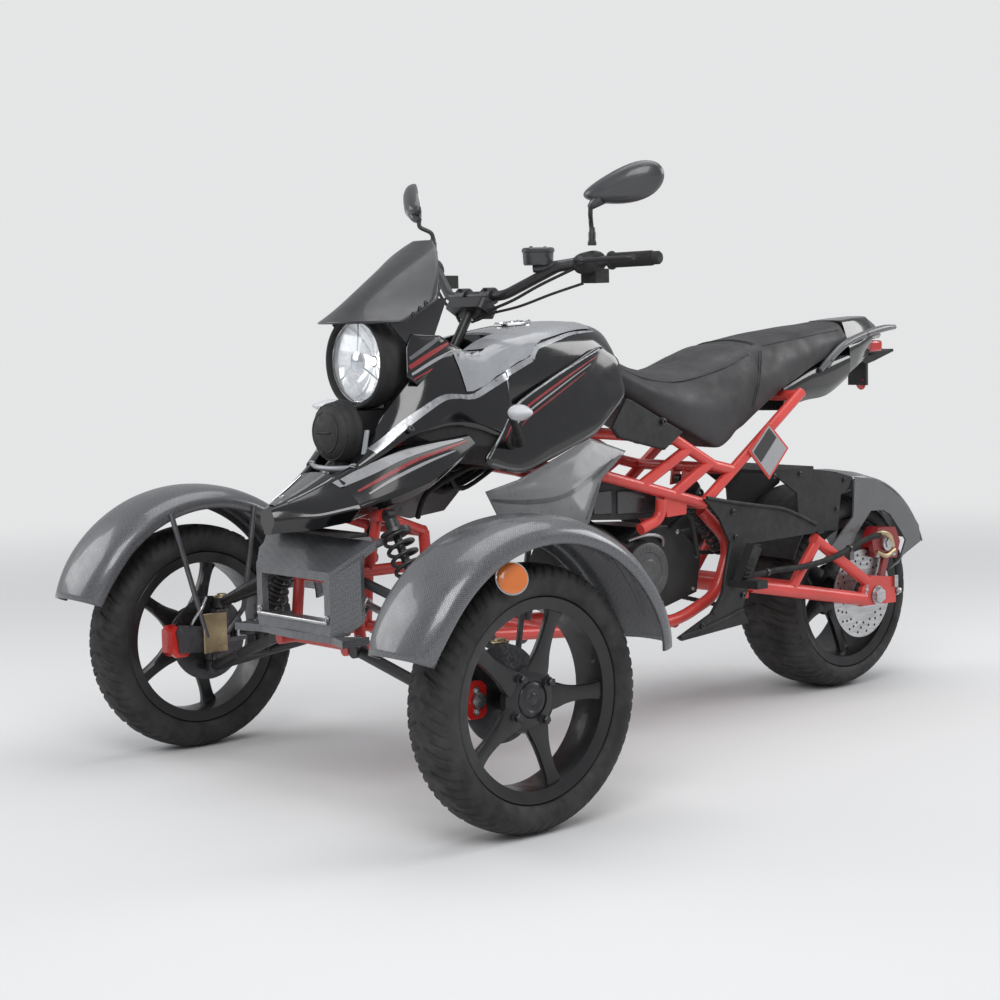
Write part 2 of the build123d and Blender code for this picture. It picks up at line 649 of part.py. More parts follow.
def exhaust():
    pipe = tube([(-30, -240, 397), (-30, -268, 352), (-70, -262, 230), (-200, -130, 228), (-203, 120, 244),
                 (-245, 290, 330)], [20, 35, 60, 90], 16)
    start = Vector(-245, 280, 326)
    way = Vector(-0.02, 0.955, 0.29).normalized()
    can = rod(start, start + way * 34, 34)
    can += rod(start + way * 34, start + way * 330, 48)
    can += rod(start + way * 330, start + way * 356, 22)
    return pipe + can


def tank_cover():
    # columns: Y, top half width and height, edge, shoulder, side, bottom, each as (X, Z)
    rows = [
        (-552, (50, 882), (128, 876), (146, 830), (150, 790), (120, 790)),
        (-482, (55, 918), (130, 907), (148, 850), (152, 790), (120, 772)),
        (-285, (60, 948), (126, 935), (148, 880), (152, 770), (120, 752)),
        (-205, (58, 949), (118, 936), (142, 880), (150, 765), (110, 745)),
        (-130, (50, 932), (100, 915), (128, 872), (140, 770), (100, 745)),
    ]
    sections = []
    for y, top, edge, shoulder, flank, bottom in rows:
        half = [(0, top[1] + 5), top, edge, shoulder, flank, bottom, (0, bottom[1])]
        sections.append((y, closed_half(half)))
    body = lofted(sections)
    return body - block(-58, 58, -600, -448, 700, 1000)


PANEL_X = 163.0
PANEL_Z = 760.0
PANEL_LEAN_DEG = 7.0
PANEL_THICKNESS = 14.0


def side_panel():
    outline = [(-573, 664), (-478, 778), (-350, 838), (-216, 896), (-158, 866), (-151, 784), (-205, 741),
               (-248, 708), (-400, 656), (-479, 636)]
    return leaning_plate(outline, PANEL_X, PANEL_Z, PANEL_LEAN_DEG, PANEL_THICKNESS, bevel=6)


def mid_cover():
    outline = [(-130, 775), (27, 696), (-36, 659), (-178, 694), (-196, 716), (-146, 780)]
    boss = rod((162.8, 8, 688), (171, 8, 688), 5)
    return leaning_plate(outline, 166, 720, 4, 10, bevel=3) + boss


def wing_panel():
    outline = [(-605, 607), (-508, 625), (-276, 699), (-176, 665), (-269, 611), (-340, 521), (-440, 510),
               (-585, 546)]
    return leaning_plate(outline, 212.8, 600, 19, 12, bevel=5)


def nose_panel():
    """The beak and its two swept blades, open behind the beak."""
    beak = lofted([
        (-1001, closed_half([(0, 592), (12, 589), (24, 565), (12, 540), (0, 540)])),
        (-935, closed_half([(0, 618), (38, 612), (88, 575), (58, 545), (0, 545)])),
        (-870, closed_half([(0, 655), (58, 648), (140, 592), (104, 562), (0, 562)])),
    ])
    blade = lofted([
        (-870, [(58, 648), (140, 592), (104, 562), (50, 600)]),
        (-800, [(78, 690), (166, 610), (140, 596), (66, 664)]),
        (-723, [(118, 706), (182, 636), (160, 626), (104, 690)]),
        (-606, [(158, 724), (188, 706), (172, 698), (144, 712)]),
    ])
    return beak + blade + mirrored(blade)


def front_cowl():
    """The left blade from the lamps up to the tank's edge."""
    return lofted([
        (-806, [(70, 742), (88, 704), (76, 698), (66, 716)]),
        (-740, [(96, 800), (126, 755), (108, 745), (84, 780)]),
        (-640, [(112, 880), (148, 778), (132, 770), (98, 868)]),
        (-552.3, [(112, 888), (156, 792), (134, 782), (96, 874)]),
    ])


def headlamp():
    """The barrel behind the round lens, and the lens itself, turned about an axis along Y."""
    axis = Axis((0, LAMP_Y, LAMP_Z), (0, 1, 0))
    plane = Plane(origin=(0, LAMP_Y, LAMP_Z), x_dir=(1, 0, 0), z_dir=(0, 0, 1))
    seat = LENS_RADIUS + TOUCH
    shell = [(0, 95), (60, 92), (LAMP_RADIUS - 14, 70), (LAMP_RADIUS, 30), (LAMP_RADIUS, 0),
             (seat + 3, -6), (seat, 0), (seat, 12), (55, 46), (0, 56)]
    glass = [(0, -20), (30, -18), (58, -12), (LENS_RADIUS, -1), (LENS_RADIUS, 10), (0, 10)]
    housing = revolve(plane * Polygon(*shell), axis)
    lens = revolve(plane * Polygon(*glass), axis)
    return housing, lens


def snout():
    axis = Axis((0, SNOUT_Y, SNOUT_Z), (0, 1, 0))
    plane = Plane(origin=(0, SNOUT_Y, SNOUT_Z), x_dir=(1, 0, 0), z_dir=(0, 0, 1))
    r = SNOUT_RADIUS
    dome = [(0, -76), (r * 0.35, -74), (r * 0.65, -64), (r * 0.9, -46), (r, -28), (r, 0), (0, 0)]
    return revolve(plane * Polygon(*dome), axis)


SCREEN_PAD_X = 112.2


def lamp_bracket():
    """Carries both lamps, the screen and the nose from the bulkhead's rear hoop."""
    back = SNOUT_Y + TOUCH
    top = LAMP_Z - LAMP_RADIUS - 2
    rear = LAMP_Y + 95 + TOUCH
    foot = TOWER_Z + RAIL_RADIUS + TOUCH
    body = plate([(back, 668), (back, top), (rear + 18, top), (rear + 18, 745), (-700, 700), (-760, 640),
                  (SHOCK_Y + 18, foot), (SHOCK_Y - 18, foot), (SHOCK_Y - 18, 640)], -38, 38)
    body += block(-30, 30, -869.7, -815, 600, 612)
    for x in (-1, 1):
        wall = plate([(-752, 955), (-752, 966), (-735, 986), (-700, 1006), (-600, 1008), (-650, 900),
                      (-672, 872), (-700, 905)], 95, 99)
        wall += rod((97, -728, 978), (SCREEN_PAD_X, -728, 978), 4.5)
        body += wall if x > 0 else mirrored(wall)
    body += block(-99, 99, rear, rear + 12, 868, 900)
    return body + block(-38, 38, rear, rear + 18, 760, 880)


def windscreen():
    """A wrapped shield, thin all over, lofted up through horizontal arcs."""
    # columns: height, half width, Y at the sides, Y at the middle
    rows = [(962, 138, -745, -821), (1002, 130, -656, -767), (1085, 88, -612, -644), (1126, 34, -582, -586)]
    wall = 4.0
    slices = []
    for z, wide, flank, middle in rows:
        plane = Plane(origin=(0, 0, z))
        front = ThreePointArc((-wide, flank), (0, middle), (wide, flank))
        back = ThreePointArc((wide - wall, flank + wall), (0, middle + wall), (wall - wide, flank + wall))
        right = Line((wide, flank), (wide - wall, flank + wall))
        left = Line((wall - wide, flank + wall), (-wide, flank))
        slices.append(plane * make_face([front, right, back, left]))
    return loft(slices, ruled=True)


def bumper():
    """The top plate over an open window between two posts and a lower bar."""
    top = level_plate([(-127, -945), (127, -945), (187, -871), (178, -846), (-178, -846), (-187, -871)],
                      430, 540)
    top &= plate([(-945, 448), (-945, 466), (-872, 527), (-846, 530), (-846, 516), (-868, 513),
                  (-938, 452)], -190, 190)
    back = FRONT_AXLE_Y + PIVOT_FRONT + POST_OFFSET - RAIL_RADIUS - TOUCH
    bar = level_plate([(-124, -945), (124, -945), (150, -922), (140, -905), (-140, -905), (-150, -922)],
                      338, 364)
    bar += block(100, 118, -910, back, 342, 360) + block(-118, -100, -910, back, 342, 360)
    post = level_plate([(108, -945), (127, -945), (176, -903), (174, -893), (166, -893), (122, -930),
                        (108, -930)], 340, 525)
    post &= plate([(-945, 345), (-945, 455), (-893, 501), (-893, 372), (-920, 345)], 90, 190)
    return top + bar + post + mirrored(post)


def lower_lip():
    outline = [(-188, -962), (-120, -940), (0, -950), (120, -940), (188, -962), (184, -892), (150, -925),
               (-150, -925), (-184, -892)]
    return level_plate(outline, 322, 338 - TOUCH)


def seat():
    # columns: Y, top height, top half width, side half width, bottom height
    rows = [
        (-122, 884, 50, 92, 800), (-20, 846, 72, 122, 745), (95, 834, 88, 138, 690),
        (190, 850, 94, 142, 650), (330, 897, 98, 138, 725), (430, 905, 92, 130, 775),
        (560, 922, 82, 112, 822), (742, 938, 58, 78, 862),
    ]
    sections = []
    for y, top, crown, flank, base in rows:
        middle = base + (top - base) * 0.55
        half = [(0, top), (crown, top - 12), (flank, middle), (flank - 8, base), (0, base)]
        sections.append((y, closed_half(half)))
    return lofted(sections)


def tail_cowl():
    # columns: Y, top height, half width, bottom height
    rows = [(470, 786, 96, 722), (560, 820, 96, 742), (652, 840, 90, 752), (744, 860, 80, 790)]
    body = lofted([(y, closed_half([(0, top), (wide, top), (wide - 12, low), (0, low)]))
                   for y, top, wide, low in rows])
    end = lofted([
        (742.3, closed_half([(0, 940), (56, 938), (80, 862), (66, 792), (0, 792)])),
        (858, closed_half([(0, 950), (44, 944), (60, 895), (46, 846), (0, 846)])),
        (931, closed_half([(0, 915), (24, 912), (34, 900), (24, 890), (0, 890)])),
    ])
    rail = plate([(600, 826), (640, 858), (770, 912), (905, 925), (905, 914), (780, 895), (655, 840),
                  (618, 812)], 98, 108)
    rail += rod((49, 880, 915), (99, 880, 918), 6)
    rail += block(91.2, 99, 632, 652, 818, 834)
    pocket = block(-47, 47, 868, 935, 855, 887)
    return body + end - pocket, rail


def tail_lamp():
    lamp = block(-46, 46, 868 + TOUCH, 926, 856, 887 - TOUCH)
    return chamfer(lamp.edges().filter_by(Axis.Z), 8)


CHEEK_X = REAR_TYRE_HALF + 13.0


def rear_polar(angle_deg, reach):
    """A (Y, Z) point at an angle from the rear, reach outside the rear tyre's radius."""
    radius = REAR_RADIUS + reach
    angle = radians(angle_deg)
    return REAR_AXLE_Y + radius * cos(angle), REAR_RADIUS + radius * sin(angle)


def brace_top(y):
    """Height of the top of the swingarm's brace at a place along it."""
    slope = (BRACE_END[1] - BRACE_TOP[1]) / (BRACE_END[0] - BRACE_TOP[0])
    return BRACE_TOP[1] + slope * (y - BRACE_TOP[0]) + BRACE_RADIUS * sqrt(1 + slope * slope)


def rear_fender():
    """The painted band over the wheel with its open side arches."""
    half = [(0, 63), (60, 60), (CHEEK_X + 1, 50), (CHEEK_X + 5, 44)]
    inner = [(CHEEK_X + 1, 42), (CHEEK_X - 3, 46), (58, 55), (0, 58)]
    right_half = half + inner
    left_half = [(-x, r) for x, r in reversed(right_half) if x]
    band = [(x, REAR_RADIUS + r) for x, r in right_half + left_half]
    body = about_axle(band, REAR_HUB, 22, 71)
    # columns: angle from the rear, distance outside the tyre's radius
    lobes = [(91.5, 49), (94.4, -52), (130, -85), (133, -94), (125.6, -122), (109.8, -142), (91, -96),
             (74.7, -35), (62.8, -19), (54.9, -15), (40, -19), (30.5, -16), (21.8, -59), (20.4, -116),
             (19.4, -68), (22.7, -43), (22.6, 36), (30.8, 49), (38.8, 45), (49.6, 45), (61, 42), (75.3, 47)]
    outline = [rear_polar(angle, reach) for angle, reach in lobes]
    cheek = plate(outline, CHEEK_X, CHEEK_X + 5)
    y, z = rear_polar(*lobes[3])
    seat_z = brace_top(y + 2) + TOUCH
    foot_x = SWINGARM_X + 4
    cheek += block(CHEEK_X, foot_x, y + 2, y + 18, z, z + 6)
    cheek += block(foot_x - 24, foot_x, y + 2, y + 18, seat_z, z + 6)
    return body + cheek + mirrored(cheek)


def hugger():
    """The black inner guard over the front of the rear tyre, with its side ears."""
    half = CHEEK_X + 1
    shell = [(-half, 14), (-half, 20), (0, 28), (half, 20), (half, 14), (0, 22)]
    body = about_axle([(x, REAR_RADIUS + r) for x, r in shell], REAR_HUB, 94, 62)
    shelf = REAR_RADIUS + 326
    foot_z = brace_top(500) + TOUCH
    ear = plate([(389, shelf + 8), (519, shelf + 8), (700, shelf - 29), (690, shelf - 54),
                 (658, shelf - 69), (645, shelf - 159), (575, shelf - 154), (500, foot_z),
                 (490, shelf - 54)], half, half + 6)
    ear += block(half, SWINGARM_X + 4, 500, 522, foot_z, foot_z + 5.4)
    body += ear + mirrored(ear)
    return body + block(-half, half, 389, 560, shelf, shelf + 8)


def swingarm():
    """One side of the triangulated arm, from the pivot to the axle plate."""
    x = SWINGARM_X
    pivot = (x - 12, ARM_PIVOT_Y, ARM_PIVOT_Z)
    axle = (x, REAR_AXLE_Y, REAR_RADIUS)
    body = rod(pivot, (x, REAR_AXLE_Y - 50, REAR_RADIUS - 6), SWINGARM_RADIUS)
    body += rod((x - 5, 410, 300), (x - 3, 505, 408), 13)
    body += rod((x - 3, *BRACE_TOP), (x, *BRACE_END), BRACE_RADIUS)
    y = REAR_AXLE_Y
    z = REAR_RADIUS
    body += plate([(y - 65, z - 22), (y + 75, z - 26), (y + 75, z - 8), (y + 65, z + 40),
                   (y - 25, z + 52), (y - 60, z + 22)], x - 5, x + 7)
    return body - rod((x - 15, *axle[1:]), (x + 15, *axle[1:]), SPINDLE_RADIUS + TOUCH)


def whole_swingarm():
    left = swingarm()
    body = left + mirrored(left)
    body += rod((-SWINGARM_X, ARM_PIVOT_Y, ARM_PIVOT_Z), (SWINGARM_X, ARM_PIVOT_Y, ARM_PIVOT_Z), 12)
    body += rod((-100, ARM_PIVOT_Y, ARM_PIVOT_Z), (100, ARM_PIVOT_Y, ARM_PIVOT_Z), 24)
    body += rod((-SWINGARM_X, 420, 298), (SWINGARM_X, 420, 298), 16)
    ear = plate([(406, 290), (434, 302), (404, 362), (380, 350)], EYE_HALF + TOUCH, EYE_HALF + EAR)
    return body + ear + mirrored(ear)


def rear_axle():
    reach = SWINGARM_X + 20
    shaft = rod(REAR_HUB - Vector(reach, 0, 0), REAR_HUB + Vector(reach, 0, 0), SPINDLE_RADIUS)
    face = SWINGARM_X + 7 + TOUCH
    for way in (-1, 1):
        nut = Plane(origin=REAR_HUB + Vector(way * face, 0, 0), z_dir=(way, 0, 0))
        shaft += extrude(nut * RegularPolygon(20, 6), 12)
    return shaft


def rear_caliper():
    y = REAR_AXLE_Y
    z = REAR_RADIUS
    body = plate([(y + 27, z + 90), (y + 117, z + 82), (y + 131, z + 124), (y + 111, z + 162),
                  (y + 43, z + 166), (y + 17, z + 132)], REAR_DISC_X - 16, REAR_DISC_X + 22)
    slot = DISC_THICKNESS / 2 + DISC_CLEARANCE
    middle = REAR_DISC_X
    body -= about_axle([(middle - slot, 0), (middle + slot, 0), (middle + slot, REAR_DISC_RADIUS + 5),
                        (middle - slot, REAR_DISC_RADIUS + 5)], REAR_HUB)
    body += plate([(y + 45, z + 30), (y + 65, z + 30), (y + 87, z + 88), (y + 65, z + 92)],
                  REAR_DISC_X + 12, REAR_DISC_X + 22)
    return body + block(REAR_DISC_X + 12, SWINGARM_X - 5 - TOUCH, y + 45, y + 63, z + 30, z + 39)


CHAIN_PITCH = 15.875
CHAIN_HEIGHT = 11.0


def chain():
    front = (ARM_PIVOT_Y - 88, 340)
    inner = SPROCKET_RADIUS + CHAIN_CLEARANCE
    small = 34.0
    middle = CHAIN_HEIGHT / 2
    discs = Pos(REAR_AXLE_Y, REAR_RADIUS) * Circle(inner + middle) + Pos(*front) * Circle(small + middle)
    line = make_hull(discs.edges()).face().outer_wire()
    count = round(line.length / CHAIN_PITCH)
    links = Sketch()
    for number in range(count):
        start = line @ (number / count)
        way = line @ ((number + 1) / count) - start
        waist = CHAIN_HEIGHT * 0.3
        reach = CHAIN_HEIGHT * 0.27
        # columns: along the link, across it
        shape = [(-reach * 1.6, -reach), (-reach, -middle), (reach, -middle), (way.length / 2, -waist),
                 (way.length - reach, -middle), (way.length + reach, -middle), (way.length + reach * 1.6, -reach),
                 (way.length + reach * 1.6, reach), (way.length + reach, middle), (way.length - reach, middle),
                 (way.length / 2, waist), (reach, middle), (-reach, middle), (-reach * 1.6, reach)]
        turn = Rot(0, 0, degrees(atan2(way.Y, way.X)))
        links += Pos(start.X, start.Y) * turn * make_face(Polyline(*shape, close=True))
    return extrude(side(-REAR_DISC_X - 11) * links, 12)


COVER_X = TRUSS_X + TUBE_RADIUS + TOUCH


def side_cover():
    upper = plate([(100, 538), (366, 491), (395, 484), (500, 440), (500, 425), (254, 420), (252, 322),
                   (226, 268), (250, 232), (20, 216), (8, 224), (120, 268), (158, 310), (187, 428),
                   (150, 490)], COVER_X, COVER_X + 8)
    peg = block(COVER_X + 8, 262, 178, 214, 326, 340)
    peg += block(218, 262, 178, 214, 340, 344)
    step = leaning_plate([(178, 335), (210, 329), (250, 415), (222, 427)], 186, 380, -6, 24)
    return upper + peg + step


def airbox():
    body = plate([(-227, 512), (-120, 504), (-7, 500), (-7, 574), (-60, 590), (-227, 586)], -118, 118)
    body = chamfer(body.edges().filter_by(Axis.X), 8)
    reach = TRUSS_X - TUBE_RADIUS - TOUCH
    # columns: Y and Z of each lug's middle, on the lower rail's line
    for y, z in ((-100, 583.6), (-30, 564.8)):
        body += block(-reach, reach, y - 10, y + 10, z - 6, min(z + 6, 586))
    return body


def turn_signal():
    lean = radians(PANEL_LEAN_DEG)
    normal = Vector(cos(lean), 0, sin(lean))
    foot = Vector(PANEL_X, -505, PANEL_Z) + normal * (PANEL_THICKNESS + TOUCH) + Vector(-sin(lean), 0, cos(lean)) * -60
    root = Vector(290, -590, 772)
    stalk = rod(foot, foot + normal * 9, 13) + rod(foot + normal * 8, root, 9)
    way = Vector(0.95, -0.28, 0.03)
    lens = loft([Plane(origin=root + way * d, z_dir=way) * Ellipse(w, h)
                 for d, w, h in ((0, 12, 11), (30, 20, 16), (82, 5, 5))], ruled=True)
    return stalk + lens


def rear_hose():
    """The corrugated brake conduit along the left swingarm."""
    route = [(182, 240, 345), (185, 330, 350), (187, 440, 350), (190.2, 540, 362), (191.5, 640, 390),
             (176, 740, 398)]
    return tube(route, [180, 300, 300, 200], 6)


PLATE_HOLE_SPACING = 40.0
PLATE_HOLE_RADIUS = 3.2
PLATE_HOLE_Z = 784.0


def plate_bracket():
    """The tail's bracket, with two holes for a registration plate."""
    body = plate([(850, 842), (858, 845.5), (880, 847), (985, 862), (988, 856), (905, 832), (880, 826),
                  (880, 770), (872, 770), (872, 826), (850, 834)], -30, 30)
    for x in (-PLATE_HOLE_SPACING / 2, PLATE_HOLE_SPACING / 2):
        body -= rod((x, 865, PLATE_HOLE_Z), (x, 890, PLATE_HOLE_Z), PLATE_HOLE_RADIUS)
    return body


def frame_plate():
    """The plain framed plate on the left of the rear strut."""
    outline = [(330, 704), (402, 638), (332, 567), (258, 639)]
    return plate(outline, TRUSS_X + TUBE_RADIUS + TOUCH, TRUSS_X + TUBE_RADIUS + 4)


nodes = {
    "frame_truss": frame_truss(),
    "frame_cradle": frame_cradle(),
    "frame_front": frame_front(),
    "engine": engine(),
    "exhaust": exhaust(),
    "tank_cover": tank_cover(),
    "side_panels": both(side_panel()),
    "wing_panels": both(wing_panel()),
    "nose_panel": nose_panel(),
    "front_cowl": both(front_cowl()),
    "lamp_bracket": lamp_bracket(),
    "snout_cover": snout(),
    "windscreen": windscreen(),
    "bumper": bumper(),
    "lower_lip": lower_lip(),
    "seat": seat(),
    "tail_lamp": tail_lamp(),
    "plate_bracket": plate_bracket(),
    "rear_fender": rear_fender(),
    "hugger": hugger(),
    "swingarm": whole_swingarm(),
    "rear_axle": rear_axle(),
    "rear_caliper": rear_caliper(),
    "chain": chain(),
    "airbox": airbox(),
    "side_covers": Compound(children=[*both(side_cover()).solids(), *both(mid_cover()).solids()]),
    "turn_signals": both(turn_signal()),
    "rear_brake_hose": rear_hose(),
    "frame_plate": frame_plate(),
    "wishbones": Compound(children=[*both(wishbone(UPPER_BALL, UPPER_PIVOT, ARM_RADIUS)).solids(),
                                    *both(lower_wishbone()).solids()]),
    "front_shocks": both(coil_shock(shock_foot(), SHOCK_TOP, 8, 32, 9)),
    "rear_shock": coil_shock(REAR_SHOCK_FOOT, REAR_SHOCK_TOP, 7, 32, 9),
    "steering_column": steering_column(),
    "handlebar": handlebar(),
    "mirrors": both(mirror_arm()),
}
nodes["headlamp_housing"], nodes["headlamp_lens"] = headlamp()
nodes["tail_cowl"], grab_rail = tail_cowl()
nodes["grab_rails"] = both(grab_rail)
grip, perch = hand_controls()
nodes["bar_controls"] = Compound(children=[*both(grip).solids(), *(perch + bar_reservoir()).solids(),
                                           *mirrored(perch).solids()])
nodes["rear_tyre"], nodes["rear_rim"], nodes["rear_disc"], nodes["sprocket"] = rear_wheel()
left_wheel = dict(zip(("front_tyre", "front_rim", "front_disc"), front_wheel()))
left_wheel["upright"] = upright()
left_wheel["front_caliper"] = front_caliper()
left_wheel["front_fender"] = front_fender()
for name, shape in left_wheel.items():
    nodes[name + "_left"] = shape
    nodes[name + "_right"] = mirrored(shape)
nodes["tie_rod_left"] = tie_rod(TIE_ROD_LIFT)
nodes["tie_rod_right"] = mirrored(tie_rod(-TIE_ROD_LIFT))


def placed(shape):
    """The shape moved so that the origin is under the middle of the vehicle's length."""
    solids = [Pos(0, -MIDDLE_Y, 0) * solid for solid in shape.solids()]
    return solids[0] if len(solids) == 1 else Compound(children=solids)


os.makedirs("parts", exist_ok=True)
for name, shape in nodes.items():
    export_step(placed(shape), f"parts/{name}.step")
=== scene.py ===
from math import cos, pi, radians, sin

import bpy
from mathutils import Matrix, Vector
from mathutils.bvhtree import BVHTree


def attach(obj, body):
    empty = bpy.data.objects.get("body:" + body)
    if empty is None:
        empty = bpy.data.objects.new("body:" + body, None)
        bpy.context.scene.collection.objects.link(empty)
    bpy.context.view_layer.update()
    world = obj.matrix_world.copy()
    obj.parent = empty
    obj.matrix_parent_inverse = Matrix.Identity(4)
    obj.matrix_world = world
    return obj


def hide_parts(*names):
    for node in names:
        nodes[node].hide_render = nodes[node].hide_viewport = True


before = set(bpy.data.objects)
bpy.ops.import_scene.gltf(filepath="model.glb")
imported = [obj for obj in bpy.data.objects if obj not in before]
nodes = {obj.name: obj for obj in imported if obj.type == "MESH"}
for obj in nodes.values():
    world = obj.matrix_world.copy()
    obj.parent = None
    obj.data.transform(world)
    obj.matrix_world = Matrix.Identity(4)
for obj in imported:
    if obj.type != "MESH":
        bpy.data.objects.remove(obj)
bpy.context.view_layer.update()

# Places below are written in the drawing's millimetres. The vehicle's origin lies under the middle of its
# length, at MIDDLE_Y in the drawing.
MIDDLE_Y = -69.0
FRONT_HUB = (567.0, -825.0, 255.0)
REAR_HUB = (0.0, 725.0, 248.0)
SIDES = (("left", 1), ("right", -1))


def at(x, y, z):
    """A place of the drawing, in metres from the vehicle's origin."""
    return Vector((x, y - MIDDLE_Y, z)) / 1000


def round_axle(hub, offset, radius, angle):
    """A place round an axle along X, at an offset along it."""
    return hub[0] + offset, hub[1] + radius * cos(angle), hub[2] + radius * sin(angle)


def between(before, start, end, after, t):
    """A place on the smooth curve from start to end, at a share t of the way."""
    return tuple(b + 0.5 * t * (c - a + t * (2 * a - 5 * b + 4 * c - d + t * (3 * (b - c) + d - a)))
                 for a, b, c, d in zip(before, start, end, after))


def smooth_rows(rows, steps):
    """Points on a smooth curve through rows of numbers, with steps points from each row to the next."""
    result = []
    last = len(rows) - 1
    for number in range(last):
        before = rows[max(number - 1, 0)]
        after = rows[min(number + 2, last)]
        for step in range(steps):
            result.append(between(before, rows[number], rows[number + 1], after, step / steps))
    result.append(tuple(rows[-1]))
    return result


class Shape:
    """Gathers mesh parts in the drawing's millimetres and turns them into one piece."""

    def __init__(self):
        self.verts = []
        self.faces = []
        self.uvs = {}

    def add(self, verts, faces):
        base = len(self.verts)
        self.verts += [Vector(v) for v in verts]
        self.faces += [tuple(base + i for i in face) for face in faces]
        return base

    def grid(self, rows, close_across=False, close_along=False, uvs=None):
        """Quads between rows of points."""
        count = len(rows[0])
        base = self.add([p for row in rows for p in row], [])
        along = len(rows) if close_along else len(rows) - 1
        across = count if close_across else count - 1
        for i in range(along):
            for j in range(across):
                corners = [(i, j), (i, (j + 1) % count),
                           ((i + 1) % len(rows), (j + 1) % count), ((i + 1) % len(rows), j)]
                self.faces.append(tuple(base + a * count + b for a, b in corners))
        if uvs:
            for i, row in enumerate(uvs):
                for j, uv in enumerate(row):
                    self.uvs[base + i * count + j] = uv
        return base

    def loft(self, rings):
        """A closed skin through rings of points, with flat ends."""
        count = len(rings[0])
        base = self.grid(rings, close_across=True)
        self.faces.append(tuple(base + i for i in reversed(range(count))))
        last = base + (len(rings) - 1) * count
        self.faces.append(tuple(last + i for i in range(count)))

    def lathe(self, profile, centre, axis=(1, 0, 0), steps=64, closed=True):
        """A profile of (offset along the axis, radius) turned about the axis."""
        way = Vector(axis).normalized()
        side = way.orthogonal().normalized()
        other = way.cross(side)
        rows = []
        for i in range(steps):
            angle = 2 * pi * i / steps
            out = side * cos(angle) + other * sin(angle)
            rows.append([Vector(centre) + way * a + out * r for a, r in profile])
        self.grid(rows, close_across=closed, close_along=True)

    def pipe(self, points, radius, sides=12, steps=6):
        """A round bar along a smooth curve through the points. The radius may be a list."""
        if steps > 1:
            line = [Vector(p) for p in smooth_rows([tuple(p) for p in points], steps)]
        else:
            line = [Vector(p) for p in points]
        radii = radius if isinstance(radius, list) else [radius] * len(line)
        if len(radii) != len(line):
            radii = [r[0] for r in smooth_rows([(r,) for r in radii], steps)]
        rings = []
        normal = None
        for i, point in enumerate(line):
            ahead = line[min(i + 1, len(line) - 1)]
            behind = line[max(i - 1, 0)]
            way = (ahead - behind).normalized()
            if normal is None:
                normal = way.orthogonal().normalized()
            normal = (normal - way * normal.dot(way)).normalized()
            other = way.cross(normal)
            ring = []
            for k in range(sides):
                angle = 2 * pi * k / sides
                ring.append(point + (normal * cos(angle) + other * sin(angle)) * radii[i])
            rings.append(ring)
        self.loft(rings)

    def prism(self, outline, vector):
        """A flat outline of 3-D points pushed along a vector."""
        count = len(outline)
        start = [Vector(p) for p in outline]
        end = [p + Vector(vector) for p in start]
        faces = [tuple(range(count)), tuple(reversed(range(count, 2 * count)))]
        for i in range(count):
            j = (i + 1) % count
            faces.append((i, i + count, j + count, j))
        self.add(start + end, faces)

    def plate(self, outline, x0, x1):
        """A plate whose outline is (Y, Z) points, from x0 to x1."""
        self.prism([(x0, y, z) for y, z in outline], (x1 - x0, 0, 0))

    def box(self, low, high):
        x0, y0, z0 = low
        x1, y1, z1 = high
        self.prism([(x0, y0, z0), (x1, y0, z0), (x1, y1, z0), (x0, y1, z0)], (0, 0, z1 - z0))

    def bolt(self, centre, axis, radius, height=None):
        """A domed socket bolt with a washer under its head."""
        h = height or radius * 0.9
        self.lathe([(0, 0), (0, radius * 1.35), (h * 0.25, radius * 1.35), (h * 0.25, radius),
                    (h * 0.85, radius), (h, radius * 0.8), (h, radius * 0.48), (h * 0.5, radius * 0.42),
                    (h * 0.5, 0)], centre, axis, steps=16, closed=False)

    def mirror(self):
        """Adds the same parts on the vehicle's other side."""
        count = len(self.verts)
        self.verts += [Vector((-v.x, v.y, v.z)) for v in self.verts]
        self.faces += [tuple(count + i for i in reversed(face)) for face in list(self.faces)]
        self.uvs.update({count + i: uv for i, uv in list(self.uvs.items())})

    def piece(self, name, material, body, replaces=(), angle=38, bevel=0.0, flip=False):
        """The finished object, riding on its body."""
        way = -1 if flip else 1
        mesh = bpy.data.meshes.new(name)
        faces = [tuple(reversed(face)) for face in self.faces] if flip else self.faces
        mesh.from_pydata([at(way * v.x, v.y, v.z) for v in self.verts], [], faces)
        if self.uvs:
            layer = mesh.uv_layers.new(name="UVMap")
            for loop in mesh.loops:
                layer.data[loop.index].uv = self.uvs.get(loop.vertex_index, (0, 0))
        mesh.materials.append(material)
        mesh.validate()
        obj = bpy.data.objects.new(name, mesh)
        bpy.context.scene.collection.objects.link(obj)
        bpy.context.view_layer.objects.active = obj
        if not self.uvs:
            bpy.ops.object.select_all(action="DESELECT")
            obj.select_set(True)
            bpy.ops.object.mode_set(mode="EDIT")
            bpy.ops.mesh.select_all(action="SELECT")
            bpy.ops.mesh.normals_make_consistent(inside=False)
            bpy.ops.object.mode_set(mode="OBJECT")
        finish_surface(obj, angle, bevel)
        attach(obj, body)
        if replaces:
            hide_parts(*replaces)
        return obj


def finish_surface(obj, angle, bevel=0.0):
    if bevel:
        modifier = obj.modifiers.new("edge", "BEVEL")
        modifier.width = bevel / 1000
        modifier.segments = 2
        modifier.limit_method = "ANGLE"
        modifier.angle_limit = radians(angle)
        modifier.harden_normals = False
    for polygon in obj.data.polygons:
        polygon.use_smooth = True
    obj.data.set_sharp_from_angle(angle=radians(angle))


def thicken(obj, thickness, offset):
    """Gives a skin its thickness in metres: inward at offset -1, outward at 1."""
    skin = obj.modifiers.new("thickness", "SOLIDIFY")
    skin.thickness = thickness
    skin.offset = offset


# Materials


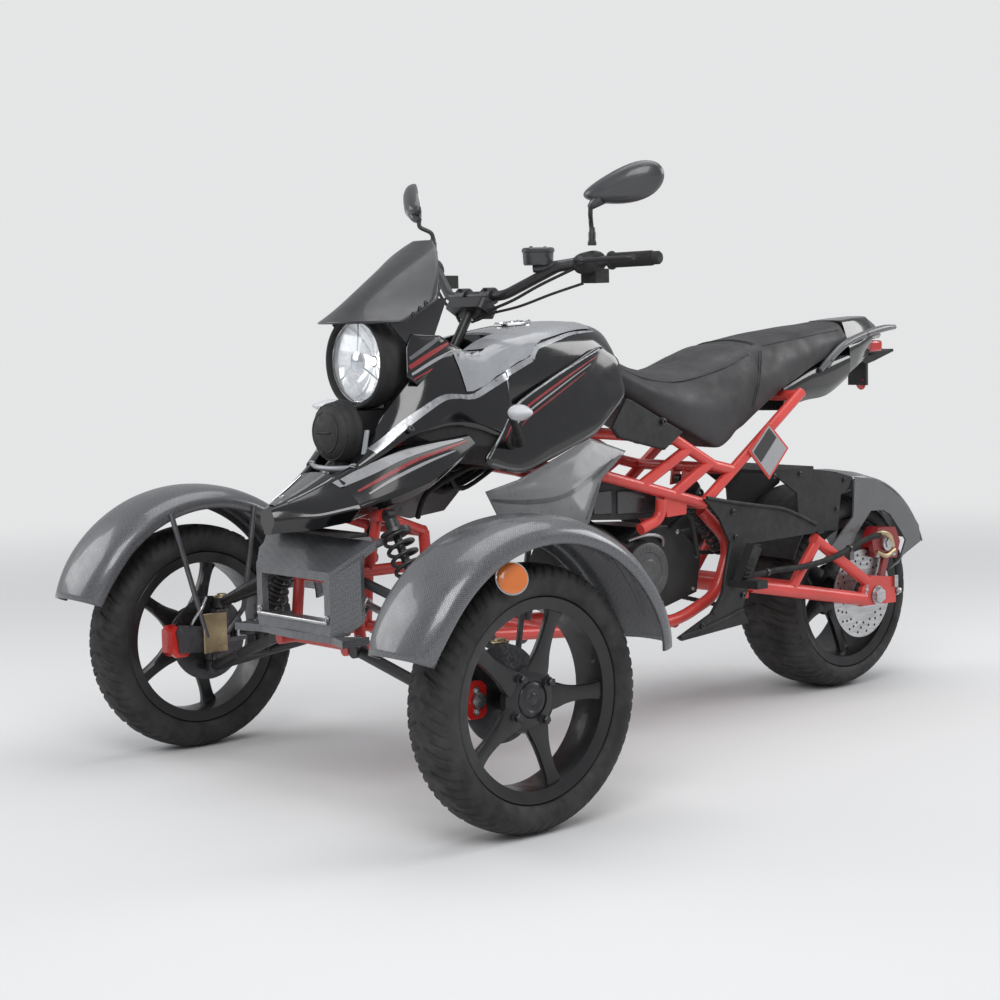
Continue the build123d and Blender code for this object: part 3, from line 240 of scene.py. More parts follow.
class Finish:
    """A Principled material and the few node chains that all the finishes share."""

    def __init__(self, name, slot, color, roughness, metallic=0.0, coat=0.0):
        self.material = bpy.data.materials.new(name)
        self.material.use_nodes = True
        self.tree = self.material.node_tree
        self.shader = self.tree.nodes["Principled BSDF"]
        self.shader.inputs["Base Color"].default_value = (*color, 1)
        self.shader.inputs["Roughness"].default_value = roughness
        self.shader.inputs["Metallic"].default_value = metallic
        self.shader.inputs["Coat Weight"].default_value = coat
        self.shader.inputs["Coat Roughness"].default_value = 0.06
        self.coordinates = self.tree.nodes.new("ShaderNodeTexCoord")
        self.normal = None

    def node(self, kind, **values):
        node = self.tree.nodes.new(kind)
        for key, value in values.items():
            setattr(node, key, value)
        return node

    def link(self, start, end):
        self.tree.links.new(start, end)

    def mapped(self, scale, coordinates="Object", rotation=(0, 0, 0)):
        mapping = self.node("ShaderNodeMapping")
        mapping.inputs["Scale"].default_value = scale
        mapping.inputs["Rotation"].default_value = rotation
        self.link(self.coordinates.outputs[coordinates], mapping.inputs["Vector"])
        return mapping.outputs["Vector"]

    def noise(self, scale, detail=4.0, stretch=(1, 1, 1), distortion=0.0):
        texture = self.node("ShaderNodeTexNoise")
        texture.inputs["Scale"].default_value = scale
        texture.inputs["Detail"].default_value = detail
        texture.inputs["Distortion"].default_value = distortion
        self.link(self.mapped(stretch), texture.inputs["Vector"])
        return texture.outputs["Fac"]

    def ramp(self, value, stops):
        ramp = self.node("ShaderNodeValToRGB")
        elements = ramp.color_ramp.elements
        while len(elements) < len(stops):
            elements.new(0.5)
        for element, (place, color) in zip(elements, stops):
            element.position = place
            element.color = (*color, 1) if len(color) == 3 else color
        self.link(value, ramp.inputs["Fac"])
        return ramp.outputs["Color"]

    def range(self, value, low, high, start=0.3, end=0.7):
        node = self.node("ShaderNodeMapRange")
        node.inputs["From Min"].default_value = start
        node.inputs["From Max"].default_value = end
        node.inputs["To Min"].default_value = low
        node.inputs["To Max"].default_value = high
        self.link(value, node.inputs["Value"])
        return node.outputs["Result"]

    def color(self, socket):
        self.link(socket, self.shader.inputs["Base Color"])
        return self

    def roughness(self, value, low, high):
        self.link(self.range(value, low, high), self.shader.inputs["Roughness"])
        return self

    def bump(self, height, strength, distance):
        bump = self.node("ShaderNodeBump")
        bump.inputs["Strength"].default_value = strength
        bump.inputs["Distance"].default_value = distance / 1000
        self.link(height, bump.inputs["Height"])
        if self.normal:
            self.link(self.normal, bump.inputs["Normal"])
        self.normal = bump.outputs["Normal"]
        self.link(self.normal, self.shader.inputs["Normal"])
        return self

    def tones(self, scale, dark, light, detail=4.0, stretch=(1, 1, 1)):
        return self.color(self.ramp(self.noise(scale, detail, stretch), [(0.35, dark), (0.65, light)]))


def scaled(color, factor):
    return tuple(min(c * factor, 1) for c in color)


def paint(name, slot, color, roughness=0.25, coat=0.6, peel=0.12):
    """Sprayed paint: faint tone changes, orange peel and handling marks."""
    finish = Finish(name, slot, color, roughness, 0.0, coat)
    finish.tones(7, scaled(color, 0.88), scaled(color, 1.1))
    finish.roughness(finish.noise(38, 6), roughness * 0.8, roughness * 1.3)
    finish.bump(finish.noise(420, 2), peel, 0.15)
    return finish.material


def moulded(name, slot, color, roughness=0.62, grain=900, strength=0.35):
    """Moulded plastic or rubber with a fine grain and worn tones."""
    finish = Finish(name, slot, color, roughness)
    finish.tones(11, scaled(color, 0.75), scaled(color, 1.35), 6)
    finish.roughness(finish.noise(60, 5), roughness * 0.85, min(roughness * 1.2, 1))
    finish.bump(finish.noise(grain, 3), strength, 0.12)
    return finish.material


def metal(name, slot, color, roughness=0.35, brushed=(1, 1, 1), grain=160):
    finish = Finish(name, slot, color, roughness, 1.0)
    finish.tones(20, scaled(color, 0.8), scaled(color, 1.15), 5, brushed)
    finish.roughness(finish.noise(grain, 4, brushed), roughness * 0.7, min(roughness * 1.45, 1))
    finish.bump(finish.noise(grain * 3, 3, brushed), 0.12, 0.1)
    return finish.material


def carbon(name, slot, light, dark, coordinates="Object", cell=0.0045, turned=(0, 0, 0.785)):
    """A two-by-two weave of shining tows under lacquer."""
    finish = Finish(name, slot, light, 0.3, 0.35, 0.55)
    place = finish.mapped((1 / cell, 1 / cell, 1 / cell), coordinates, turned)
    waves = []
    for direction in ("X", "Y"):
        wave = finish.node("ShaderNodeTexWave", wave_type="BANDS", bands_direction=direction)
        wave.inputs["Scale"].default_value = 0.5
        finish.link(place, wave.inputs["Vector"])
        waves.append(wave.outputs["Fac"])
    checker = finish.node("ShaderNodeTexChecker")
    checker.inputs["Scale"].default_value = 1.0
    finish.link(place, checker.inputs["Vector"])
    mix = finish.node("ShaderNodeMix", data_type="FLOAT")
    finish.link(checker.outputs["Fac"], mix.inputs["Factor"])
    finish.link(waves[0], mix.inputs["A"])
    finish.link(waves[1], mix.inputs["B"])
    weave = mix.outputs["Result"]
    finish.color(finish.ramp(weave, [(0.1, dark), (0.9, light)]))
    finish.roughness(finish.noise(30, 4), 0.24, 0.42)
    finish.bump(weave, 0.25, 0.2)
    return finish.material


def leather(name, slot, color):
    finish = Finish(name, slot, color, 0.55)
    cells = finish.node("ShaderNodeTexVoronoi", feature="DISTANCE_TO_EDGE")
    cells.inputs["Scale"].default_value = 520
    finish.link(finish.mapped((1, 1, 1)), cells.inputs["Vector"])
    finish.tones(9, scaled(color, 0.72), scaled(color, 1.4), 6)
    finish.roughness(finish.noise(24, 5), 0.44, 0.68)
    finish.bump(cells.outputs["Distance"], 0.35, 0.3)
    finish.bump(finish.noise(30, 4), 0.2, 1.2)
    return finish.material


def tyre_rubber(name, slot):
    finish = Finish(name, slot, (0.018, 0.018, 0.019), 0.75)
    finish.tones(14, (0.012, 0.012, 0.013), (0.034, 0.033, 0.032), 8)
    finish.roughness(finish.noise(50, 6), 0.6, 0.88)
    finish.bump(finish.noise(700, 4), 0.3, 0.2)
    return finish.material


def clear(name, slot, color, roughness=0.04, transmission=0.92):
    finish = Finish(name, slot, color, roughness)
    finish.shader.inputs["Transmission Weight"].default_value = transmission
    finish.shader.inputs["IOR"].default_value = 1.5
    finish.roughness(finish.noise(40, 4), roughness * 0.6, roughness * 2)
    return finish.material


RED = paint("red_paint", "red_tube", (0.62, 0.055, 0.045), 0.34, 0.25)
BLACK_GLOSS = paint("black_gloss_paint", "black_gloss", (0.006, 0.006, 0.007), 0.14, 0.7, 0.08)
BLACK_SATIN = paint("black_satin_paint", "black_metal", (0.018, 0.018, 0.020), 0.4, 0.1)
GREY = paint("grey_paint", "grey_panel", (0.115, 0.117, 0.123), 0.3, 0.5)
# Silver serves as trim, and as a painted highlight along the side panel's upper edge.
SILVER = metal("silver_trim_and_edge_highlight", "grey_panel", (0.42, 0.43, 0.45), 0.38)
SILVER_PAINT = paint("silver_paint", "grey_panel", (0.30, 0.31, 0.33), 0.26, 0.6)
# Red and pale lines are stripes on the cheek and painted highlights on the nose blade and side panel.
RED_STRIPE_AND_HIGHLIGHT = paint("red_stripe_and_highlight_paint", "grey_panel", (0.27, 0.022, 0.026), 0.25, 0.6)
PALE_PAINT = paint("pale_paint", "grey_panel", (0.33, 0.33, 0.345), 0.25, 0.6)
SHELL_GREY = paint("dark_grey_shell", "black_plastic", (0.045, 0.046, 0.05), 0.32, 0.4)
WHEEL = paint("wheel_paint", "wheel_black", (0.008, 0.008, 0.009), 0.36, 0.15)
CALIPER = paint("caliper_paint", "bright_red", (0.62, 0.02, 0.015), 0.28, 0.5)
DARK_RED = paint("dark_red_paint", "dark_red", (0.24, 0.012, 0.014), 0.3, 0.4)
PLASTIC = moulded("black_plastic_grain", "black_plastic", (0.016, 0.016, 0.017))
RUBBER = moulded("black_rubber_grain", "black_rubber", (0.012, 0.012, 0.012), 0.72, 600, 0.5)
SCREEN = paint("screen_tint", "smoked_screen", (0.030, 0.031, 0.034), 0.33, 0.3, 0.02)
STEEL = metal("brushed_steel", "steel", (0.52, 0.52, 0.53), 0.32, (1, 1, 8))
DARK_STEEL = metal("dark_steel", "steel", (0.10, 0.10, 0.105), 0.42)
CHROME = metal("bright_chrome", "steel", (0.8, 0.81, 0.83), 0.08)
CAST = metal("cast_alloy", "engine_metal", (0.16, 0.16, 0.17), 0.5)
GREY_CAST = moulded("grey_cast", "engine_metal", (0.075, 0.075, 0.077), 0.45, 300, 0.3)
DARK_CAST = moulded("dark_cast", "engine_metal", (0.02, 0.02, 0.021), 0.5, 260, 0.4)
GOLD = metal("pale_gold", "gold_metal", (0.52, 0.42, 0.26), 0.4)
CARBON = carbon("carbon_weave", "carbon", (0.175, 0.18, 0.19), (0.07, 0.072, 0.078), "Object", 0.005,
                (0.6, 0.5, 0.785))
CARBON_UV = carbon("carbon_weave_fender", "carbon", (0.175, 0.18, 0.19), (0.07, 0.072, 0.078), "UV", 0.0055)
DARK_BAND = paint("carbon_dark_band", "carbon", (0.035, 0.036, 0.04), 0.28, 0.5)
LEATHER = leather("seat_leather", "seat_cover", (0.030, 0.030, 0.032))
SEAM = moulded("seat_seam", "seat_cover", (0.010, 0.010, 0.011), 0.6)
TYRE = tyre_rubber("tyre_rubber", "tyre")
GLASS = clear("lamp_glass", "clear_lens", (0.95, 0.97, 1.0))
SIGNAL_LENS = clear("signal_glass", "clear_lens", (0.9, 0.92, 0.95), 0.12, 0.35)
AMBER = paint("amber_reflector", "red_lens", (0.72, 0.19, 0.04), 0.2, 0.7)
RED_LENS = paint("red_lens_plastic", "red_lens", (0.5, 0.012, 0.01), 0.12, 0.8)
REFLECTOR = metal("lamp_reflector", "clear_lens", (0.92, 0.93, 0.94), 0.2)
BULB = paint("bulb_white", "clear_lens", (0.9, 0.9, 0.88), 0.2, 0.5)


def glow(material, strength):
    """A little light of its own, for what the photograph shows lit; on the lamp's reflector bowl it is a
    painted reflection.
    """
    for node in material.node_tree.nodes:
        if node.type == "BSDF_PRINCIPLED":
            node.inputs["Emission Color"].default_value = (1.0, 0.99, 0.97, 1)
            node.inputs["Emission Strength"].default_value = strength


glow(BULB, 2.5)
# The reflector bowl is no lamp: its glow is a painted reflection.
glow(REFLECTOR, 0.22)

NODE_FINISH = {
    "frame_truss": RED, "frame_cradle": RED, "frame_front": RED, "frame_plate": RED, "swingarm": RED,
    "engine": DARK_CAST, "exhaust": BLACK_SATIN, "tank_cover": BLACK_GLOSS, "side_panels": BLACK_GLOSS,
    "wing_panels": GREY, "nose_panel": BLACK_GLOSS, "front_cowl": BLACK_GLOSS, "lamp_bracket": BLACK_SATIN,
    "snout_cover": PLASTIC, "windscreen": SCREEN, "bumper": CARBON, "lower_lip": CARBON,
    "seat": LEATHER, "tail_lamp": RED_LENS, "tail_cowl": BLACK_GLOSS, "plate_bracket": PLASTIC,
    "grab_rails": GREY, "rear_fender": GREY, "hugger": PLASTIC, "rear_axle": STEEL,
    "rear_caliper": DARK_RED, "chain": DARK_CAST, "airbox": PLASTIC, "side_covers": PLASTIC,
    "turn_signals": PLASTIC, "rear_brake_hose": RUBBER, "wishbones": BLACK_SATIN,
    "front_shocks": BLACK_SATIN, "rear_shock": BLACK_SATIN, "steering_column": BLACK_SATIN,
    "handlebar": BLACK_SATIN, "mirrors": PLASTIC, "bar_controls": RUBBER, "headlamp_housing": PLASTIC,
    "headlamp_lens": GLASS, "rear_tyre": TYRE, "rear_rim": WHEEL, "rear_disc": STEEL,
    "sprocket": STEEL, "front_tyre": TYRE, "front_rim": WHEEL, "front_disc": DARK_STEEL, "upright": CAST,
    "front_caliper": CALIPER, "front_fender": CARBON, "tie_rod": STEEL,
}

for node_name, node in nodes.items():
    key = node_name if node_name in NODE_FINISH else node_name.rsplit("_", 1)[0]
    if node.data.materials:
        node.material_slots[0].material = NODE_FINISH[key]
    else:
        node.data.materials.append(NODE_FINISH[key])
    for polygon in node.data.polygons:
        polygon.use_smooth = True
    node.data.set_sharp_from_angle(angle=radians(32))


# Tyres

def tyre_piece(name, hub, half, pitches, groove_depth, body, node, flip=False):
    """A tyre with swept grooves. Every column of points follows them, so that their edges are crisp."""
    columns = 12
    total = pitches * columns
    outline = [(-a, r) for a, r in reversed(half)] + half[1:]
    fine = smooth_rows(outline, 5)
    crown = max(r for a, r in half)
    widest = max(a for a, r in half)
    rows = []
    for i in range(total):
        phase = i % columns
        row = []
        for offset, radius in fine:
            share = abs(offset) / widest
            turn = 0.13 * share ** 1.4
            depth = 0.0
            on_tread = radius > crown - 34
            if on_tread and phase in (2, 3) and 0.12 < share < 0.93:
                depth = groove_depth
            if on_tread and phase in (8, 9) and 0.42 < share < 0.97:
                depth = groove_depth
            if on_tread and phase == 5 and 0.3 < share < 0.62:
                depth = groove_depth * 0.6
            angle = 2 * pi * i / total + turn
            row.append(round_axle(hub, offset, radius - depth, angle))
        rows.append(row)
    shape = Shape()
    shape.grid(rows, close_across=True, close_along=True)
    return shape.piece(name, TYRE, body, (node,), angle=30, flip=flip)


FRONT_TYRE = [(0, 254.6), (20, 253.4), (36, 249.5), (49, 240), (56, 226), (56.6, 214), (53, 204),
              (47, 197.5), (43.5, 196), (37.7, 195.5), (37.7, 178.4)]
REAR_TYRE = [(0, 247.6), (30, 246.6), (58, 243), (80, 233.5), (94, 219), (97.6, 206), (96, 198.5),
             (92, 193), (85.7, 191.6), (85.7, 175.4)]

for side_name, way in SIDES:
    tyre_piece(f"tyre_front_{side_name}", FRONT_HUB, FRONT_TYRE, 34, 3.2, f"front_wheel_{side_name}",
               f"front_tyre_{side_name}", flip=way < 0)
tyre_piece("tyre_rear", REAR_HUB, REAR_TYRE, 34, 3.6, "rear_wheel", "rear_tyre")


# Wheels

def spoke(shape, hub, angle, stations):
    """One cast spoke: stations are (radius, offset, half thickness, half width)."""
    rings = []
    for radius, offset, thick, wide in stations:
        out = Vector((0, cos(angle), sin(angle)))
        across = Vector((0, -sin(angle), cos(angle)))
        middle = Vector(hub) + out * radius + Vector((offset, 0, 0))
        ring = []
        # columns: share of the thickness, share of the width
        for t, w in ((1, 0.55), (0.82, 0.9), (0.3, 1), (-0.6, 0.92), (-1, 0.6), (-1, -0.6), (-0.6, -0.92),
                     (0.3, -1), (0.82, -0.9), (1, -0.55)):
            ring.append(middle + Vector((thick * t, 0, 0)) + across * (wide * w))
        rings.append(ring)
    shape.loft(smooth_rings(rings, 4))


def smooth_rings(rings, steps):
    """More rings between the given ones, each point on a smooth curve."""
    lines = [smooth_rows([tuple(ring[k]) for ring in rings], steps) for k in range(len(rings[0]))]
    return [[line[i] for line in lines] for i in range(len(lines[0]))]


def rim_piece(name, hub, lip_radius, bead_radius, lip_half, dish, body, node, flip=False):
    bore = bead_radius - 10
    shape = Shape()
    shape.lathe([(lip_half, lip_radius - 5), (lip_half + 0.4, lip_radius - 2), (lip_half - 1, lip_radius),
                 (lip_half - 5, lip_radius - 1), (lip_half - 6, bead_radius + 1),
                 (-lip_half + 6, bead_radius + 1),
                 (-lip_half + 5, lip_radius - 1), (-lip_half + 1, lip_radius),
                 (-lip_half - 0.4, lip_radius - 2),
                 (-lip_half, lip_radius - 5), (-lip_half + 5, bore + 2), (-lip_half + 16, bore),
                 (lip_half - 18, bore), (lip_half - 6, bore + 2)], hub, steps=120)
    for number in range(5):
        angle = radians(70 + 72 * number)
        spoke(shape, hub, angle, [(30, dish - 2, 9, 30), (62, dish, 9.5, 26), (92, dish + 1, 9, 18),
                                  (128, dish + 3, 8.5, 14.5), (bore - 12, dish + 6, 9, 16),
                                  (bore + 4, dish + 7, 11, 22)])
    shape.lathe([(dish - 13, 0), (dish - 13, 60), (dish - 6, 66), (dish + 4, 62), (dish + 9, 50),
                 (dish + 10, 36), (dish + 5, 34), (dish + 5, 0)], hub, steps=72, closed=False)
    return shape.piece(name, WHEEL, body, (node,), angle=35, flip=flip)


for side_name, way in SIDES:
    rim_piece(f"wheel_front_{side_name}", FRONT_HUB, 195, 178, 43, 14, f"front_wheel_{side_name}",
              f"front_rim_{side_name}", flip=way < 0)
    caps = Shape()
    caps.lathe([(17, 33), (23, 33), (26, 30), (27, 24), (24, 20), (24, 14), (27, 11), (28, 6), (28, 0),
                (17, 0)], FRONT_HUB, steps=48, closed=False)
    for number in range(4):
        place = round_axle(FRONT_HUB, 22, 50, radians(34 + 90 * number))
        caps.lathe([(0, 11), (2, 11), (3, 8.5), (13, 8.5), (15, 6.5), (15, 0)], place, steps=6,
                   closed=False)
    caps.pipe([(FRONT_HUB[0] + 30, FRONT_HUB[1] + 150, FRONT_HUB[2] + 62),
               (FRONT_HUB[0] + 42, FRONT_HUB[1] + 140, FRONT_HUB[2] + 56)], 3.2, 10, 1)
    caps.piece(f"wheel_caps_{side_name}", BLACK_SATIN, f"front_wheel_{side_name}", flip=way < 0)


def rear_wheel_piece():
    rim_piece("wheel_rear", REAR_HUB, 191, 175, 91, 20, "rear_wheel", "rear_rim")
    hub = Shape()
    hub.lathe([(-126, 15.2), (-126, 30), (-112, 32), (-60, 30), (0, 34), (60, 30), (112, 32), (126, 30),
               (126, 15.2)], REAR_HUB, steps=48)
    hub.piece("wheel_rear_hub", WHEEL, "rear_wheel")


rear_wheel_piece()


def disc_piece(name, hub, x, thick, outer, inner, holes, material, body, node, flip=False):
    """A brake disc with dark cores through it, painted shade standing in for its rows of holes."""
    shape = Shape()
    steps = holes * 8
    for face in (0, 1):
        offset = x + (thick / 2 if face else -thick / 2)
        rows = []
        for i in range(steps):
            angle = 2 * pi * i / steps
            row = []
            for radius in (inner, inner + 10, (inner + outer) / 2, outer - 8, outer):
                row.append(round_axle(hub, offset, radius, angle))
            rows.append(row)
        shape.grid(rows, close_along=True)
    rims = []
    for i in range(steps):
        angle = 2 * pi * i / steps
        rims.append([round_axle(hub, x + t, outer, angle) for t in (-thick / 2, thick / 2)])
    shape.grid(rims, close_along=True)
    disc = shape.piece(name, material, body, (node,), flip=flip)
    # Dark plugs paint the shade of the holes; the disc itself is not drilled.
    hole_shade = Shape()
    for number in range(holes):
        for radius, turn in ((outer - 12, 0), (outer - 24, 0.35), (outer - 36, 0.7)):
            angle = 2 * pi * (number + turn) / holes
            centre = round_axle(hub, x - thick / 2 - 0.3, radius, angle)
            hole_shade.lathe([(0, 0), (0, 3.4), (thick + 0.6, 3.4), (thick + 0.6, 0)], centre, steps=10,
                       closed=False)
    hole_shade.piece(name + "_hole_shade", RUBBER, body, flip=flip)
    return disc


disc_piece("disc_rear", REAR_HUB, 128, 4, 112, 34, 18, STEEL, "rear_wheel", "rear_disc")


# Front fenders

FENDER_START = 12
FENDER_SWEEP = 148
FENDER_HALF = 91
FENDER_EDGE = 298


def fender_taper(share):
    """The fender's width at a share of its arc, as a share of the full width."""
    return 1 - 0.16 * max(0, (share - 0.86) / 0.14) ** 2 - 0.1 * max(0, (0.1 - share) / 0.1) ** 2


def fender_piece(side_name, way):
    """A carbon shell on an arc about the axle, with a flared tail and rolled lips."""
    # columns: offset from the wheel's middle, radius
    across = smooth_rows([(-FENDER_HALF, FENDER_EDGE), (-90, 316), (-72, 333), (-40, 341), (-16, 343),
                          (0, 343.5), (16, 343), (40, 341), (72, 333), (90, 316),
                          (FENDER_HALF, FENDER_EDGE)], 3)
    rows = []
    uvs = []
    count = 72
    for i in range(count + 1):
        share = i / count
        angle = radians(FENDER_START + FENDER_SWEEP * share)
        narrow = fender_taper(share)
        row = []
        line = []
        run = 0.0
        last = across[0]
        for offset, radius in across:
            run += ((offset - last[0]) ** 2 + (radius - last[1]) ** 2) ** 0.5
            last = (offset, radius)
            row.append(round_axle(FRONT_HUB, offset * narrow, radius, angle))
            line.append((share * 0.9, run / 1000))
        rows.append(row)
        uvs.append(line)
    shape = Shape()
    shape.grid(rows, uvs=uvs)
    shell = shape.piece(f"fender_{side_name}", CARBON_UV, f"knuckle_{side_name}",
                        (f"front_fender_{side_name}",), angle=50, flip=way < 0)
    thicken(shell, 0.0035, -1)


for side_name, way in SIDES:
    fender_piece(side_name, way)


# Suspension units

def spring_unit(name, foot, top, turns, wide, wire, node, mirrored):
    foot = Vector(foot)
    top = Vector(top)
    way = (top - foot).normalized()
    length = (top - foot).length
    side = way.orthogonal().normalized()
    other = way.cross(side)
    body = Shape()
    body.lathe([(8, 8), (14, 12.5), (40, 13), (46, 16), (60, 17), (63, wide - 4), (68, wide - 4), (70, 16),
                (length * 0.62, 16),
                (length * 0.63, 9), (length - 46, 9), (length - 45, wide), (length - 38, wide),
                (length - 36, 15), (length - 12, 14), (length - 8, 8)], foot, way, 32, closed=False)
    eye_axis = Vector((0, 1, 0)) if abs(way.x) > abs(way.y) else Vector((1, 0, 0))
    for point in (foot, top):
        body.lathe([(-9, 6), (-9, 12), (9, 12), (9, 6)], point, eye_axis, 28)
    coil = Shape()
    points = []
    low = 68.0
    high = length - 45.0
    steps = turns * 20
    for i in range(steps + 1):
        angle = 2 * pi * turns * i / steps
        height = low + (high - low) * i / steps
        points.append(foot + way * height + (side * cos(angle) + other * sin(angle)) * (wide - wire / 2))
    coil.pipe(points, wire / 2, 10, 1)
    if mirrored:
        body.mirror()
        coil.mirror()
    body.piece(name + "_damper", BLACK_SATIN, "chassis", (node,))
    coil.piece(name + "_spring", BLACK_SATIN, "chassis")


# Smooth skins for the bodywork

def cut_box(piece, low, high):
    """The piece with a box taken out of it."""
    places = [at(x, y, z) for x in (low[0], high[0]) for y in (low[1], high[1]) for z in (low[2], high[2])]
    mesh = bpy.data.meshes.new("cutter")
    mesh.from_pydata(places, [], [(0, 1, 3, 2), (4, 6, 7, 5), (0, 4, 5, 1), (2, 3, 7, 6), (0, 2, 6, 4),
                                  (1, 5, 7, 3)])
    cutter = bpy.data.objects.new("cutter", mesh)
    bpy.context.scene.collection.objects.link(cutter)
    change = piece.modifiers.new("slot", "BOOLEAN")
    change.operation = "DIFFERENCE"
    change.object = cutter
    change.solver = "EXACT"
    bpy.context.view_layer.update()
    shown = piece.evaluated_get(bpy.context.evaluated_depsgraph_get())
    mesh = bpy.data.meshes.new_from_object(shown)
    piece.modifiers.clear()
    piece.data = mesh
    bpy.data.objects.remove(cutter)


def smooth_closed(points, steps):
    """A smooth closed line through points. A point given twice stays a corner."""
    count = len(points)
    result = []
    for number in range(count):
        before, start, end, after = (points[(number + k) % count] for k in (-1, 0, 1, 2))
        if start == end:
            continue
        if before == start:
            before = tuple(2 * a - b for a, b in zip(start, end))
        if after == end:
            after = tuple(2 * b - a for a, b in zip(start, end))
        for step in range(steps):
            result.append(between(before, start, end, after, step / steps))
    return result


def hull(shape, rows, along=6, around=4):
    """A closed skin through sections given as (Y, half outline from the top's middle to the bottom's)."""
    rings = []
    for y, half in rows:
        outline = list(half) + [(-x, z) for x, z in reversed(half) if x]
        rings.append([(x, y, z) for x, z in smooth_closed(outline, around)])
    shape.loft(smooth_rings(rings, along))


def shield(shape, outline, plane_x, plane_z, lean, thick, bulge, steps=5, corners=True):
    """A crowned cover over a (Y, Z) outline, on a plane that leans about the vehicle's length."""
    points = smooth_closed(outline, steps) if not corners else [
        tuple(a + (b - a) * k / steps for a, b in zip(outline[i], outline[(i + 1) % len(outline)]))
        for i in range(len(outline)) for k in range(steps)]
    middle_y = sum(p[0] for p in points) / len(points)
    middle_z = sum(p[1] for p in points) / len(points)
    slope = radians(lean)
    rings = []
    # columns: share of the outline's size, height above the plane
    for share, height in ((0.985, 0), (1, thick * 0.35), (0.995, thick * 0.7), (0.97, thick),
                          (0.9, thick + bulge * 0.25), (0.7, thick + bulge * 0.6),
                          (0.4, thick + bulge * 0.9),
                          (0.12, thick + bulge)):
        ring = []
        for y, z in points:
            py = middle_y + (y - middle_y) * share
            pz = middle_z + (z - middle_z) * share
            x = plane_x - (pz - plane_z) * sin(slope) / cos(slope)
            ring.append((x + height * cos(slope), py, pz + height * sin(slope)))
        rings.append(ring)
    shape.loft(rings)


def surface_tree(*pieces):
    """The finished outer surface of some pieces, for what is laid on them."""
    bpy.context.view_layer.update()
    depsgraph = bpy.context.evaluated_depsgraph_get()
    verts = []
    faces = []
    for piece in pieces:
        mesh = piece.evaluated_get(depsgraph).to_mesh()
        base = len(verts)
        verts += [piece.matrix_world @ v.co for v in mesh.vertices]
        faces += [[base + i for i in p.vertices] for p in mesh.polygons]
    return BVHTree.FromPolygons(verts, faces)


def drop(tree, point, way, lift=0.6, reach=900.0):
    """The drawing's place where a line from a point meets the surface, lifted off it."""
    start = at(*point)
    hit, normal = tree.ray_cast(start, Vector(way).normalized(), reach / 1000)[:2]
    if hit is None:
        return None
    if normal.dot(Vector(way)) > 0:
        normal = -normal
    place = (hit + normal * lift / 1000) * 1000
    return Vector((place.x, place.y + MIDDLE_Y, place.z)), normal


def side_strip(shape, tree, route, widths, lift=0.7, steps=6, from_x=420.0):
    """A thin strip laid on the side of the bodywork along a (Y, Z) route."""
    line = smooth_rows(route, steps)
    wide = [w[0] for w in smooth_rows([(w,) for w in widths], steps)]
    rows = []
    for i, (y, z) in enumerate(line):
        ahead = line[min(i + 1, len(line) - 1)]
        behind = line[max(i - 1, 0)]
        way = Vector((0, ahead[0] - behind[0], ahead[1] - behind[1])).normalized()
        across = Vector((0, -way.z, way.y))
        row = []
        for share in (-0.5, -0.2, 0.2, 0.5):
            found = drop(tree, Vector((from_x, y, z)) + across * wide[i] * share, (-1, 0, 0), lift)
            if found is None:
                row = []
                break
            row.append(found[0])
        if row:
            rows.append(row)
    if len(rows) > 1:
        shape.grid(rows)


# Tank

tank = Shape()
hull(tank, [
    (-590, [(0, 866), (44, 864), (96, 858), (128, 838), (140, 812), (142, 790), (142, 790), (0, 786),
            (0, 786)]),
    (-552, [(0, 884), (50, 882), (104, 878), (134, 860), (147, 826), (150, 788), (150, 788), (0, 782),
            (0, 782)]),
    (-482, [(0, 921), (55, 918), (112, 911), (138, 896), (150, 850), (152, 780), (152, 780), (0, 770),
            (0, 770)]),
    (-380, [(0, 942), (58, 939), (112, 930), (140, 912), (152, 866), (154, 772), (154, 772), (0, 760),
            (0, 760)]),
    (-285, [(0, 952), (60, 949), (108, 940), (134, 920), (149, 876), (153, 768), (153, 768), (0, 752),
            (0, 752)]),
    (-205, [(0, 953), (58, 950), (100, 940), (126, 918), (144, 874), (150, 762), (150, 762), (0, 745),
            (0, 745)]),
    (-150, [(0, 943), (52, 940), (88, 930), (112, 908), (134, 866), (144, 765), (144, 765), (0, 745),
            (0, 745)]),
    (-128, [(0, 920), (46, 916), (80, 906), (104, 886), (124, 850), (136, 770), (136, 770), (0, 750),
            (0, 750)]),
], 6, 4)
tank_obj = tank.piece("tank_shell", BLACK_GLOSS, "chassis", ("tank_cover",), angle=40)

# Cowl blades on each side of the lamps, back to the tank

cowl_objs = []
for side_name, way in SIDES:
    cowl = Shape()
    rows = [
        [(-838, 60, 668), (-838, 74, 670), (-838, 84, 668), (-836, 86, 660)],
        [(-795, 64, 716), (-794, 88, 712), (-792, 104, 700), (-790, 106, 688)],
        [(-740, 84, 800), (-738, 108, 772), (-736, 124, 742), (-734, 128, 724)],
        [(-690, 98, 856), (-688, 124, 812), (-686, 140, 768), (-684, 144, 738)],
        [(-640, 106, 886), (-640, 132, 838), (-640, 150, 786), (-640, 154, 744)],
        [(-585, 110, 896), (-585, 138, 852), (-585, 160, 800), (-585, 166, 736)],
        [(-530, 112, 898), (-530, 144, 858), (-530, 166, 800), (-530, 173, 716)],
        [(-490, 112, 902), (-490, 150, 862), (-490, 167, 806), (-490, 174, 706)],
    ]
    columns = [smooth_rows([(x, y, z) for y, x, z in row], 4) for row in rows]
    lines = [smooth_rows([column[k] for column in columns], 5) for k in range(len(columns[0]))]
    grid = [[line[i] for line in lines] for i in range(len(lines[0]))]
    cowl.grid(grid)
    obj = cowl.piece(f"cowl_blade_{side_name}", BLACK_GLOSS, "chassis",
                     ("front_cowl",) if way > 0 else (), angle=60, flip=way < 0)
    thicken(obj, 0.004, 0)
    cowl_objs.append(obj)

# The small striped cheek beside the headlamp, under the screen

